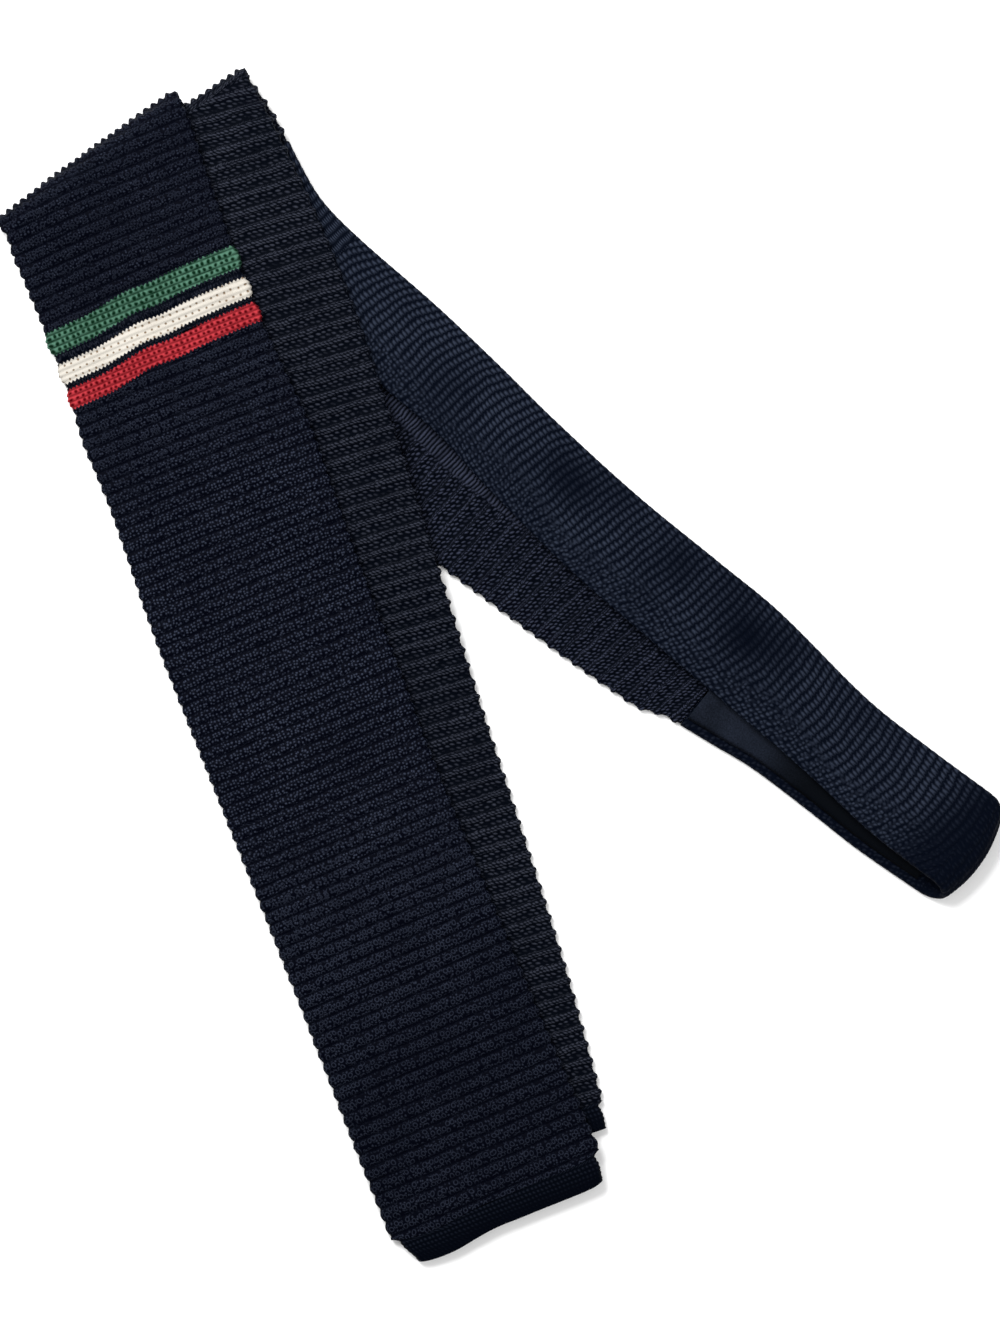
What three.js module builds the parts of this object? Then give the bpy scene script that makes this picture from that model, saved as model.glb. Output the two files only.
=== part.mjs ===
import * as THREE from 'three';

// A knit tie, folded in half at the neck, with the doubled strip folded over once more.
// Millimetres and degrees, +Z up, lying on the plane z = 0.
//
// The tie is one flattened knitted tube. Its route, from the front tip to the tail tip, is
// front leg, front fold, under leg, neck loop, neck leg, tail fold, tail leg.
// From the table up, the layers are the under leg, the neck leg, the tail leg and the front leg.

// Widths of the flattened tube
const BLADE_WIDTH = 68.5;
const TAIL_WIDTH = 63;
const NECK_WIDTH = 31;

// Thickness of one laid layer: two knitted walls with a narrow slit between them
const BLADE_THICKNESS = 3;
const NECK_THICKNESS = 2.4;
const SLIT = 0.6;

// Clearances between layers that lie on each other, and between pieces end to end
const LAYER_GAP = 0.5;
const PIECE_GAP = 0.3;

// Leg lengths without their hems, from the fold or loop that they start at, and headings in plan
const FRONT_LENGTH = 352;
const FRONT_HEADING = -68.7;
const UNDER_LENGTH = 347.8;
const UNDER_HEADING = -37.8;
const TAIL_LENGTH = 337.6;
const TAIL_HEADING = -71.4;
const HEM_LENGTH = 8.4;

// The tail fold lies inside the front fold: how far along it, and how deep behind its fold line
const NEST_ALONG = 24.9;
const NEST_DEPTH = 3;

// How far each fold's middle surface rounds out past its fold line, at its left and right end,
// and how much further halfway between them
const FRONT_FOLD_BULGE = { left: 5.3, right: 4.1, crown: 0.3 };
const TAIL_FOLD_BULGE = { left: 1.5, right: 2, crown: 0 };
const NECK_LOOP_BULGE = { left: 6.2, right: 5.2, crown: 2 };

// The soft loop at the neck end stands higher than the folds
const FOLD_LIFT = 0.6;
const FOLD_LIFT_RUN = 30;
const LOOP_LIFT = 4.2;
const LOOP_LIFT_RUN = 60;
const LOOP_SLOPE = 54;

// Courses turn parallel to a fold over this stretch of a leg
const LEAN_RUN = 75;
const FRONT_LEAN_RUN = 36;

// Below the front fold the courses tilt, as a slope, and sag towards both edges of the blade
const COURSE_TILT = -0.045;
const COURSE_SAG = 1.15;
const COURSE_SAG_FADE = { start: 90, end: 170, left: 0.25 };

// The front blade ends with its courses tilted by this slope, and its hem leans sideways
const HEM_TILT = -0.035;
const HEM_SWAY = 0.8;

// An upper layer stays level past a lower layer's edge, then comes down to what is below it
const DRAPE_MARGIN = 5;
const DRAPE_RUN = 26;

// Cross ribs on the blades
const FRONT_RIB = 4;
const BACK_RIB = 5.2;
const RIB_RELIEF = 0.45;
const EDGE_SCALLOP = 0.5;

// Knitted bands across the front blade, in order from the front fold
const BANDS_START = 38.4;
const GREEN_STRIPE_LENGTH = 7.4;
const NAVY_BAND_LENGTH = 2.2;
const WHITE_STRIPE_LENGTH = 7.6;
const NAVY_LINE_LENGTH = 0.9;
const RED_STRIPE_LENGTH = 6.9;
const BANDS = [
  { name: 'green_stripe', length: GREEN_STRIPE_LENGTH, yarn: 'green' },
  { name: 'navy_band', length: NAVY_BAND_LENGTH, yarn: 'navy' },
  { name: 'white_stripe', length: WHITE_STRIPE_LENGTH, yarn: 'cream' },
  { name: 'navy_line', length: NAVY_LINE_LENGTH, yarn: 'navy' },
  { name: 'red_stripe', length: RED_STRIPE_LENGTH, yarn: 'red' },
];

// Where the pieces of the tube end, as distances from the start of their leg
const FRONT_FOLD_REACH = 30;
const TAIL_FOLD_REACH = 20;
const HIDDEN_UNDER_LENGTH = 120;
const RIBBED_UNDER_END = 250.4;
const NECK_WIDENING_LENGTH = 67.8;

// Satin lining on the inside of the neck
const LINING_START = 256;
const LINING_END_INSET = 3;
const LINING_BORDER = 3;
const LINING_THICKNESS = 0.5;

// Outlines: share of the leg's length, blend from the neck's width (0) to the leg's broad width (1),
// and sideways shift of the centre as a share of the blade's width
const FRONT_OUTLINE = [
  { along: 0, blend: 0.981, shift: -0.005 },
  { along: 0.025, blend: 0.998, shift: -0.0094 },
  { along: 0.05, blend: 0.971, shift: -0.0122 },
  { along: 0.17, blend: 0.93, shift: -0.02 },
  { along: 0.21, blend: 0.997, shift: -0.0248 },
  { along: 0.25, blend: 1.019, shift: -0.016 },
  { along: 0.287, blend: 1.035, shift: -0.0097 },
  { along: 0.41, blend: 1.043, shift: -0.0319 },
  { along: 0.52, blend: 1.028, shift: -0.0346 },
  { along: 0.615, blend: 1.012, shift: -0.0362 },
  { along: 0.72, blend: 1.027, shift: -0.0278 },
  { along: 0.87, blend: 1.066, shift: -0.018 },
  { along: 1, blend: 1.12, shift: -0.0033 },
];
const UNDER_OUTLINE = [
  { along: 0, blend: 0.981, shift: -0.005 },
  { along: 0.2, blend: 0.973, shift: -0.0075 },
  { along: 0.475, blend: 0.7, shift: -0.058 },
  { along: 0.69, blend: 0.5, shift: -0.075 },
  { along: 0.72, blend: 0.401, shift: -0.051 },
  { along: 0.77, blend: 0.291, shift: -0.0465 },
  { along: 0.81, blend: 0.21, shift: -0.044 },
  { along: 0.87, blend: 0.128, shift: -0.0615 },
  { along: 0.93, blend: 0.077, shift: -0.0775 },
  { along: 1, blend: 0.015, shift: -0.075 },
];
const NECK_OUTLINE = [
  { along: 0, blend: 0.99, shift: -0.0024 },
  { along: 0.05, blend: 0.749, shift: -0.0015 },
  { along: 0.109, blend: 0.347, shift: -0.003 },
  { along: 0.15, blend: 0.1, shift: 0 },
  { along: 0.2, blend: 0.01, shift: 0.004 },
  { along: 0.3, blend: 0, shift: 0.011 },
  { along: 0.38, blend: -0.045, shift: 0.009 },
  { along: 0.45, blend: -0.014, shift: -0.0164 },
  { along: 0.56, blend: 0.036, shift: -0.0345 },
  { along: 0.66, blend: 0.0675, shift: -0.0205 },
  { along: 0.73, blend: 0.08, shift: -0.009 },
  { along: 0.85, blend: -0.016, shift: -0.0177 },
  { along: 0.93, blend: 0.051, shift: -0.011 },
  { along: 1, blend: 0.07, shift: 0.016 },
];
const TAIL_OUTLINE = [
  { along: 0, blend: 0.99, shift: -0.0024 },
  { along: 0.06, blend: 0.99, shift: 0.0496 },
  { along: 0.16, blend: 0.978, shift: 0.107 },
  { along: 0.25, blend: 0.98, shift: 0.124 },
  { along: 0.43, blend: 0.963, shift: 0.119 },
  { along: 0.6, blend: 0.971, shift: 0.0963 },
  { along: 0.73, blend: 0.97, shift: 0.0908 },
  { along: 0.87, blend: 0.956, shift: 0.0821 },
  { along: 1, blend: 0.901, shift: 0.06 },
];

// The hems are knitted tighter than the blades
const HEM_TIGHTNESS = 0.93;

// Soft waves along the neck leg: share of its length, and rise as a share of the neck's thickness
const NECK_WAVES = [
  { along: 0, rise: 0 },
  { along: 0.3, rise: 0.1 },
  { along: 0.42, rise: 0.45 },
  { along: 0.52, rise: 0.15 },
  { along: 0.64, rise: 0.6 },
  { along: 0.73, rise: 0.1 },
  { along: 0.81, rise: 0.45 },
  { along: 0.88, rise: 0.1 },
  { along: 1, rise: 0 },
];

// Fineness of the surfaces
const COARSE_STEP = 10;
const NECK_STEP = 10;
const BAND_STEP = 2;
const ROLL_STEPS = 8;

// Where the tube's surface has its lengthwise rows, as shares of the half width
const EDGE_ROW = 0.94;
const EDGE_ROW_THICKNESS = 0.8;
const FACE_ROWS = [-EDGE_ROW, -0.5, 0, 0.5, EDGE_ROW];
const SLIT_EDGE = 0.8;
const SLIT_ROWS = [-0.45, 0, 0.45];

const YARNS = {
  navy: new THREE.MeshStandardMaterial({ color: 0x1a1f2e, roughness: 0.75, metalness: 0 }),
  hem: new THREE.MeshStandardMaterial({ color: 0x0b0e18, roughness: 0.8, metalness: 0 }),
  green: new THREE.MeshStandardMaterial({ color: 0x2f7d55, roughness: 0.7, metalness: 0 }),
  cream: new THREE.MeshStandardMaterial({ color: 0xebe4d4, roughness: 0.7, metalness: 0 }),
  red: new THREE.MeshStandardMaterial({ color: 0xb01c30, roughness: 0.7, metalness: 0 }),
  satin: new THREE.MeshStandardMaterial({ color: 0x161b28, roughness: 0.35, metalness: 0 }),
};

const { clamp, degToRad, lerp, smoothstep } = THREE.MathUtils;

// Unit vector in plan at an angle from +X.
function direction(angle) {
  return new THREE.Vector2(Math.cos(degToRad(angle)), Math.sin(degToRad(angle)));
}

// Reads one column of a table at a share of the length, with a smooth curve through its rows.
function reading(table, share, column) {
  const at = clamp(share, 0, 1);
  let row = 0;
  while (row < table.length - 2 && at > table[row + 1].along) row += 1;
  const slope = (index) => {
    const before = table[Math.max(index - 1, 0)];
    const after = table[Math.min(index + 1, table.length - 1)];
    return (after[column] - before[column]) / (after.along - before.along);
  };
  const low = table[row];
  const high = table[row + 1];
  const span = high.along - low.along;
  const t = (at - low.along) / span;
  const s = 1 - t;
  return (
    low[column] * (1 + 2 * t) * s * s +
    slope(row) * span * t * s * s +
    high[column] * (1 + 2 * s) * t * t -
    slope(row + 1) * span * s * t * t
  );
}

// How a leg's courses lean to end parallel to a line at this angle in plan.
function leanTo(lineAngle, heading) {
  return -Math.tan(degToRad(lineAngle - heading - 90));
}

// One straight stretch of the laid tube. Distances a run from the fold at its upper left end,
// w runs from -1 at its lower left edge to 1 at its upper right edge,
// and n runs from -1 on the tube's back side to 1 on its front side.
class Leg {
  constructor(settings) {
    Object.assign(this, settings);
    this.along = direction(this.heading);
    this.across = direction(this.heading + 90);
  }

  blend(a) {
    return reading(this.outline, a / this.length, 'blend');
  }

  halfWidth(a) {
    const hem = a > this.length ? HEM_TIGHTNESS : 1;
    return (hem * lerp(NECK_WIDTH, this.broad, this.blend(a))) / 2;
  }

  centreShift(a) {
    const sway = this.hemSway * smoothstep(a, this.length, this.length + PIECE_GAP + HEM_LENGTH);
    return reading(this.outline, a / this.length, 'shift') * BLADE_WIDTH + sway;
  }

  thickness(a) {
    return lerp(NECK_THICKNESS, BLADE_THICKNESS, clamp(this.blend(a), 0, 1));
  }

  lean(a) {
    const start = 1 - smoothstep(a, 0, this.leanRun);
    const end = 1 - smoothstep(this.length - a, 0, LEAN_RUN);
    return this.startLean * start + this.endLean * end;
  }

  plan(a, w, inset = 0) {
    const v = w * (this.halfWidth(a) - inset);
    return this.origin
      .clone()
      .addScaledVector(this.along, a + this.lean(a) * v + this.sag(a, w))
      .addScaledVector(this.across, v + this.centreShift(a));
  }

  // Height that this leg adds to what lies over a point in plan, fading out past its outline.
  cover(point) {
    const from = point.clone().sub(this.origin);
    const a = from.dot(this.along);
    const v = from.dot(this.across) - this.centreShift(a);
    const beside = Math.max(Math.abs(v) - this.halfWidth(a) + this.inset, 0);
    const before = this.coverStart + this.lean(0) * v - a;
    const beyond = a - this.coverEnd - this.lean(this.length) * v;
    const outside = Math.hypot(beside, Math.max(before, beyond, 0));
    const fade = 1 - smoothstep(outside, DRAPE_MARGIN, DRAPE_MARGIN + DRAPE_RUN);
    return (this.coverHeight(a) + this.lift(a) + LAYER_GAP) * fade;
  }

  // Height of the leg's underside over a point in plan.
  underside(point, a) {
    return this.below.reduce((height, layer) => height + layer.cover(point), this.lift(a));
  }

  place(a, w, n) {
    const point = this.plan(a, w);
    const half = this.thickness(a) / 2;
    return new THREE.Vector3(point.x, point.y, this.underside(point, a) + half + this.facing * n * half);
  }
}

// The turn between an upper and a lower leg: a half round, from 0 at the upper leg to PI at the lower one.
class Roll {
  constructor(settings) {
    Object.assign(this, settings);
    const out = direction(this.outward);
    this.out = new THREE.Vector3(out.x, out.y, 0);
  }

  place(turn, w, n) {
    const top = this.upper.place(this.upperEnd, w, 0);
    const low = this.lower.place(this.lowerEnd, w, 0);
    const radius = (top.z - low.z) / 2;
    const bulge = lerp(this.bulge.left, this.bulge.right, (w + 1) / 2) + this.bulge.crown * (1 - w * w);
    const share = (1 - Math.cos(turn)) / 2;
    const half = lerp(this.upper.thickness(this.upperEnd), this.lower.thickness(this.lowerEnd), share) / 2;
    const normal = this.out.clone().multiplyScalar(radius * Math.sin(turn));
    normal.z = bulge * Math.cos(turn);
    return top
      .lerp(low, share)
      .addScaledVector(this.out, bulge * Math.sin(turn))
      .addScaledVector(normal.normalize(), this.upper.facing * n * half);
  }
}

// How far the front blade's courses lie towards the hem at a place across it.
function frontSag(a, w) {
  const fade = smoothstep(a, COURSE_SAG_FADE.start, COURSE_SAG_FADE.end);
  const share = smoothstep(a, 0, FRONT_LEAN_RUN) * lerp(1, COURSE_SAG_FADE.left, fade);
  return share * ((COURSE_TILT * w * BLADE_WIDTH) / 2 + COURSE_SAG * w * w);
}

// Rise of a leg near one of its ends.
function endRise(distance, height, run) {
  return height * (1 - smoothstep(distance, 0, run));
}

// The four legs, from the table up, with the fold and loop lines between them.
const start = new THREE.Vector2(0, 0);
const frontFoldOut = (FRONT_HEADING + UNDER_HEADING) / 2 + 180;
const frontFoldLine = frontFoldOut - 90;
const nest = start
  .clone()
  .addScaledVector(direction(frontFoldLine), NEST_ALONG)
  .addScaledVector(direction(frontFoldOut), -NEST_DEPTH);
const neckEnd = start.clone().addScaledVector(direction(UNDER_HEADING), UNDER_LENGTH);
const neckLength = neckEnd.distanceTo(nest);
const neckHeading = THREE.MathUtils.radToDeg(neckEnd.clone().sub(nest).angle()) - 360;
const tailFoldOut = (neckHeading + TAIL_HEADING) / 2 + 180;
const tailFoldLine = tailFoldOut - 90;

const underLeg = new Leg({
  origin: start,
  heading: UNDER_HEADING,
  length: UNDER_LENGTH,
  broad: BLADE_WIDTH,
  outline: UNDER_OUTLINE,
  startLean: leanTo(frontFoldLine, UNDER_HEADING),
  endLean: leanTo(LOOP_SLOPE, UNDER_HEADING),
  facing: -1,
  leanRun: LEAN_RUN,
  hemSway: 0,
  sag: () => 0,
  inset: 0,
  coverStart: 0,
  coverEnd: UNDER_LENGTH,
  coverHeight: (a) => underLeg.thickness(a),
  lift: () => 0,
  below: [],
});

// The lining counts as a thin layer on the under leg.
const lining = new Leg({
  ...underLeg,
  inset: LINING_BORDER,
  coverStart: LINING_START,
  coverEnd: UNDER_LENGTH,
  coverHeight: () => LINING_THICKNESS,
});

const neckLeg = new Leg({
  origin: nest,
  heading: neckHeading,
  length: neckLength,
  broad: TAIL_WIDTH,
  outline: NECK_OUTLINE,
  startLean: leanTo(tailFoldLine, neckHeading),
  endLean: leanTo(LOOP_SLOPE, neckHeading),
  facing: 1,
  leanRun: LEAN_RUN,
  hemSway: 0,
  sag: () => 0,
  inset: 0,
  coverStart: 0,
  coverEnd: neckLength,
  coverHeight: (a) => neckLeg.thickness(a),
  lift: (a) =>
    endRise(neckLength - a, LOOP_LIFT, LOOP_LIFT_RUN) +
    NECK_THICKNESS * reading(NECK_WAVES, a / neckLength, 'rise'),
  below: [underLeg, lining],
});

const tailLeg = new Leg({
  origin: nest,
  heading: TAIL_HEADING,
  length: TAIL_LENGTH,
  broad: TAIL_WIDTH,
  outline: TAIL_OUTLINE,
  startLean: leanTo(tailFoldLine, TAIL_HEADING),
  endLean: 0,
  facing: -1,
  leanRun: LEAN_RUN,
  hemSway: HEM_SWAY,
  sag: () => 0,
  inset: 0,
  coverStart: 0,
  coverEnd: TAIL_LENGTH + PIECE_GAP + HEM_LENGTH,
  coverHeight: (a) => tailLeg.thickness(a),
  lift: (a) => endRise(a, FOLD_LIFT, FOLD_LIFT_RUN),
  below: [underLeg, neckLeg],
});

const frontLeg = new Leg({
  origin: start,
  heading: FRONT_HEADING,
  length: FRONT_LENGTH,
  broad: BLADE_WIDTH,
  outline: FRONT_OUTLINE,
  startLean: leanTo(frontFoldLine, FRONT_HEADING),
  endLean: HEM_TILT,
  facing: 1,
  leanRun: FRONT_LEAN_RUN,
  hemSway: HEM_SWAY,
  sag: frontSag,
  inset: 0,
  lift: (a) => endRise(a, FOLD_LIFT, FOLD_LIFT_RUN),
  below: [underLeg, neckLeg, tailLeg],
});

const frontFold = new Roll({
  upper: frontLeg,
  lower: underLeg,
  upperEnd: 0,
  lowerEnd: 0,
  outward: frontFoldOut,
  bulge: FRONT_FOLD_BULGE,
});
const tailFold = new Roll({
  upper: tailLeg,
  lower: neckLeg,
  upperEnd: 0,
  lowerEnd: 0,
  outward: tailFoldOut,
  bulge: TAIL_FOLD_BULGE,
});
const neckLoop = new Roll({
  upper: neckLeg,
  lower: underLeg,
  upperEnd: neckLength,
  lowerEnd: UNDER_LENGTH,
  outward: LOOP_SLOPE - 90,
  bulge: NECK_LOOP_BULGE,
});

// Stations along a leg, from one distance to another. Every second one is a groove between ribs,
// and about every COARSE_STEP one is shared by the plain faces.
function legStations(leg, from, to, pitch, ribbed = true) {
  const count = 2 * Math.max(Math.round(Math.abs(to - from) / pitch), 1);
  const skip = Math.max(Math.round((COARSE_STEP * count) / Math.abs(to - from)), 1);
  const stations = [];
  for (let index = 0; index <= count; index += 1) {
    const a = lerp(from, to, index / count);
    stations.push({
      place: (w, n) => leg.place(a, w, n),
      thickness: leg.thickness(a),
      halfWidth: leg.halfWidth(a),
      groove: ribbed && index % 2 === 1,
      plain: index % skip === 0 || index === count,
    });
  }
  return stations;
}

// Stations round a fold or the loop, without its two ends, from the upper leg down or from the lower one up.
function rollStations(roll, downwards) {
  const stations = [];
  for (let index = 1; index < ROLL_STEPS; index += 1) {
    const share = index / ROLL_STEPS;
    const turn = Math.PI * (downwards ? share : 1 - share);
    stations.push({
      place: (w, n) => roll.place(turn, w, n),
      thickness: roll.lower.thickness(roll.lowerEnd),
      halfWidth: roll.lower.halfWidth(roll.lowerEnd),
      groove: false,
      plain: true,
    });
  }
  return stations;
}

// Lengthwise rows round a section: the left edge, one side, the right edge, the other side.
// turn is the place round the section, from 0 at the left edge.
function sectionRows(faceRows, edge, depthAt) {
  const rows = [{ w: -edge, n: 0, turn: 0 }];
  faceRows.forEach((w) => rows.push({ w, n: depthAt(w), turn: (w + 1) / 4 }));
  rows.push({ w: edge, n: 0, turn: 0.5 });
  [...faceRows].reverse().forEach((w) => rows.push({ w, n: -depthAt(w), turn: (3 - w) / 4 }));
  return rows;
}

// Joins two rows of points with triangles, stepping along whichever row has the nearer next point.
function stitch(first, second, faces, flip) {
  let i = 0;
  let j = 0;
  while (i < first.length - 1 || j < second.length - 1) {
    const stepFirst = j === second.length - 1 || (i < first.length - 1 && first[i + 1].t <= second[j + 1].t);
    const face = stepFirst
      ? [first[i].index, first[i + 1].index, second[j].index]
      : [first[i].index, second[j + 1].index, second[j].index];
    faces.push(flip ? face.reverse() : face);
    if (stepFirst) i += 1;
    else j += 1;
  }
}

// The points of one end of the surface, as a closed row round the section.
function endLoop(rows, end) {
  const loop = rows.map((row) => ({ t: row.turn, index: row.points.at(end).index }));
  return [...loop, { t: 1, index: loop[0].index }];
}

// Closed mesh from its points and faces, turned so that the faces point outwards.
function solid(name, positions, faces, material) {
  const point = (index) => new THREE.Vector3().fromArray(positions, 3 * index);
  const volume = faces.reduce((sum, [a, b, c]) => sum + point(a).dot(point(b).cross(point(c))), 0);
  const outward = volume > 0 ? faces : faces.map((face) => [...face].reverse());
  const geometry = new THREE.BufferGeometry();
  geometry.setAttribute('position', new THREE.Float32BufferAttribute(positions, 3));
  geometry.setIndex(outward.flat());
  geometry.computeVertexNormals();
  const mesh = new THREE.Mesh(geometry, material);
  mesh.name = name;
  return mesh;
}

// Samples the rows of a section at the stations that each row keeps.
function sampleRows(rows, stations, keep, pointAt, positions) {
  rows.forEach((row) => {
    row.points = [];
    stations.forEach((station, t) => {
      if (!keep(row, station)) return;
      positions.push(...pointAt(row, station).toArray());
      row.points.push({ t, index: positions.length / 3 - 1 });
    });
  });
}

// A stretch of the flattened tube, open at both ends, with ribs on one side and at its edges.
function tube(name, material, ribbedSide, stations) {
  const positions = [];
  const faces = [];
  const outer = sectionRows(FACE_ROWS, 1, (w) => (Math.abs(w) === EDGE_ROW ? EDGE_ROW_THICKNESS : 1));
  const inner = sectionRows(SLIT_ROWS, SLIT_EDGE, () => 1);

  const onOuter = (row, station) => {
    const ribbed = station.groove && row.n * ribbedSide >= 0;
    const depth = ribbed ? 1 - (2 * RIB_RELIEF) / station.thickness : 1;
    const scallop = ribbed && row.n === 0 ? 1 - EDGE_SCALLOP / station.halfWidth : 1;
    return station.place(row.w * scallop, row.n * depth);
  };
  const onInner = (row, station) => station.place(row.w, (row.n * SLIT) / station.thickness);
  sampleRows(outer, stations, (row, station) => station.plain || row.n * ribbedSide >= 0, onOuter, positions);
  sampleRows(inner, stations, (row, station) => station.plain, onInner, positions);

  [outer, inner].forEach((rows) => {
    rows.forEach((row, index) => {
      stitch(row.points, rows[(index + 1) % rows.length].points, faces, rows === inner);
    });
  });
  stitch(endLoop(outer, 0), endLoop(inner, 0), faces, false);
  stitch(endLoop(outer, -1), endLoop(inner, -1), faces, true);
  return solid(name, positions, faces, material);
}

// The thin satin band on the inner side of the neck.
function liningBand(name, material) {
  const positions = [];
  const faces = [];
  const rows = sectionRows([-0.5, 0, 0.5], 1, () => 1);
  const end = UNDER_LENGTH - LINING_END_INSET;
  const count = Math.round((end - LINING_START) / NECK_STEP);
  const stations = Array.from({ length: count + 1 }, (_, index) => lerp(LINING_START, end, index / count));
  const pointAt = (row, a) => {
    const point = underLeg.plan(a, row.w, LINING_BORDER);
    const seat = underLeg.thickness(a) + LAYER_GAP;
    return new THREE.Vector3(point.x, point.y, seat + (LINING_THICKNESS * (row.n + 1)) / 2);
  };
  sampleRows(rows, stations, () => true, pointAt, positions);
  rows.forEach((row, index) => stitch(row.points, rows[(index + 1) % rows.length].points, faces, false));
  [0, -1].forEach((side) => {
    const loop = endLoop(rows, side);
    const hub = [{ t: 0, index: loop[0].index }];
    stitch(loop.slice(1, -1), hub, faces, side === -1);
  });
  return solid(name, positions, faces, material);
}

const tie = new THREE.Group();

// Front leg, from the hem up to the bands
const bandsEnd = BANDS.reduce((end, band) => end + band.length + PIECE_GAP, BANDS_START);
const frontHemStart = FRONT_LENGTH + PIECE_GAP;
tie.add(
  tube('front_hem', YARNS.hem, 1, legStations(frontLeg, frontHemStart + HEM_LENGTH, frontHemStart, FRONT_RIB)),
  tube('front_blade', YARNS.navy, 1, legStations(frontLeg, FRONT_LENGTH, bandsEnd, FRONT_RIB)),
);

// Knitted bands of the front leg
let bandStart = BANDS_START;
BANDS.forEach((band) => {
  const stations = legStations(frontLeg, bandStart + band.length, bandStart, 2 * BAND_STEP);
  tie.add(tube(band.name, YARNS[band.yarn], 1, stations));
  bandStart += band.length + PIECE_GAP;
});

// Front fold, with the stretch above the bands and the start of the under leg
tie.add(
  tube('front_fold', YARNS.navy, 1, [
    ...legStations(frontLeg, BANDS_START - PIECE_GAP, 0, FRONT_RIB),
    ...rollStations(frontFold, true),
    ...legStations(underLeg, 0, FRONT_FOLD_REACH, FRONT_RIB),
  ]),
);

// Under leg, plain where the other layers hide it, then ribbed as far as the neck
tie.add(
  tube('under_blade', YARNS.navy, -1, [
    ...legStations(underLeg, FRONT_FOLD_REACH + PIECE_GAP, HIDDEN_UNDER_LENGTH, NECK_STEP * 2, false),
    ...legStations(underLeg, HIDDEN_UNDER_LENGTH + BACK_RIB / 2, RIBBED_UNDER_END, BACK_RIB),
  ]),
);

// Neck: the end of the under leg, the loop, and the neck leg up to where it widens
tie.add(
  tube('neckband', YARNS.navy, 1, [
    ...legStations(underLeg, RIBBED_UNDER_END + PIECE_GAP, UNDER_LENGTH, NECK_STEP * 2, false),
    ...rollStations(neckLoop, false),
    ...legStations(neckLeg, neckLength, NECK_WIDENING_LENGTH, NECK_STEP * 2, false),
  ]),
  liningBand('neck_lining', YARNS.satin),
);

// Tail fold, from the widening of the neck to the start of the tail leg
tie.add(
  tube('tail_fold', YARNS.navy, -1, [
    ...legStations(neckLeg, NECK_WIDENING_LENGTH - PIECE_GAP, 0, BACK_RIB),
    ...rollStations(tailFold, false),
    ...legStations(tailLeg, 0, TAIL_FOLD_REACH, BACK_RIB),
  ]),
);

// Tail leg down to its hem
const tailHemStart = TAIL_LENGTH + PIECE_GAP;
tie.add(
  tube('tail_blade', YARNS.navy, -1, legStations(tailLeg, TAIL_FOLD_REACH + PIECE_GAP, TAIL_LENGTH, BACK_RIB)),
  tube('tail_hem', YARNS.hem, -1, legStations(tailLeg, tailHemStart, tailHemStart + HEM_LENGTH, FRONT_RIB)),
);

// The origin is at the centre of the tie's box, on the table.
const box = new THREE.Box3().setFromObject(tie);
const centre = box.getCenter(new THREE.Vector3());
tie.position.set(-centre.x, -centre.y, -box.min.z);
tie.updateMatrixWorld(true);

export default tie;
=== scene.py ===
"""Knit tie, folded and laid flat: its knitted surfaces, their finishes, and a plain studio.

The tie is one flattened knitted tube. Its route from the front tip to the tail tip is front
leg, front fold, under leg, neck loop, neck leg, tail fold, tail leg. Sizes are in millimetres
and angles in degrees, and each mesh is written in metres.
"""

import logging
import math
from dataclasses import dataclass, field, replace
from enum import Enum
from typing import Callable, Optional, Protocol, Sequence

import bpy
import numpy as np
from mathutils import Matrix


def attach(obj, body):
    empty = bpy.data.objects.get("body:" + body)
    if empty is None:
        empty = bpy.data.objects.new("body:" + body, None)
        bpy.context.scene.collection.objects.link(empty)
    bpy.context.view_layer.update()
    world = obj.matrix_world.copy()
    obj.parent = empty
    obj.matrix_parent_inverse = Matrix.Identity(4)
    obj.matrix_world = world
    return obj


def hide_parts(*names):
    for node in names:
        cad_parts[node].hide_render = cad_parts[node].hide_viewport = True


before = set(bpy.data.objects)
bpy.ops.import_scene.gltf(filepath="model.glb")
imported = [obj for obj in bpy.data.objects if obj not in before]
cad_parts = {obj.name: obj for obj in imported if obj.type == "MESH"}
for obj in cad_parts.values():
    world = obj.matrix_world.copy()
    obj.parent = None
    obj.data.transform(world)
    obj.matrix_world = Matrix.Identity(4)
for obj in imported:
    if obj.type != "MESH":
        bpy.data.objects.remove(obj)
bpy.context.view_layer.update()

LOG = logging.getLogger("knit_tie")
MM = 0.001

Array = np.ndarray
Piece = bpy.types.Object
Socket = bpy.types.NodeSocket
Tree = bpy.types.NodeTree

# Sizes of the laid tube, as in the solids
BLADE_WIDTH = 68.5
TAIL_WIDTH = 63.0
NECK_WIDTH = 31.0
BLADE_THICKNESS = 3.0
NECK_THICKNESS = 2.4
LAYER_GAP = 0.5
JOIN = 0.05
FRONT_LENGTH = 352.0
FRONT_HEADING = -68.7
UNDER_LENGTH = 347.8
UNDER_HEADING = -37.8
TAIL_LENGTH = 337.6
TAIL_HEADING = -71.4

# Where the tail's fold nests inside the front's: along its line, and back from it
NEST_ALONG = 24.9
NEST_DEPTH = 3.0

# How far the cloth stands up beside a fold and at the loop, and over what length
FOLD_LIFT = 0.6
FOLD_LIFT_RUN = 30.0
LOOP_LIFT = 4.2
LOOP_LIFT_RUN = 60.0

# The angle of the loop's line in plan, and how far past a fold the rows still lean with it
LOOP_SLOPE = 54.0
LEAN_RUN = 75.0
FRONT_LEAN_RUN = 36.0

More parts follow.
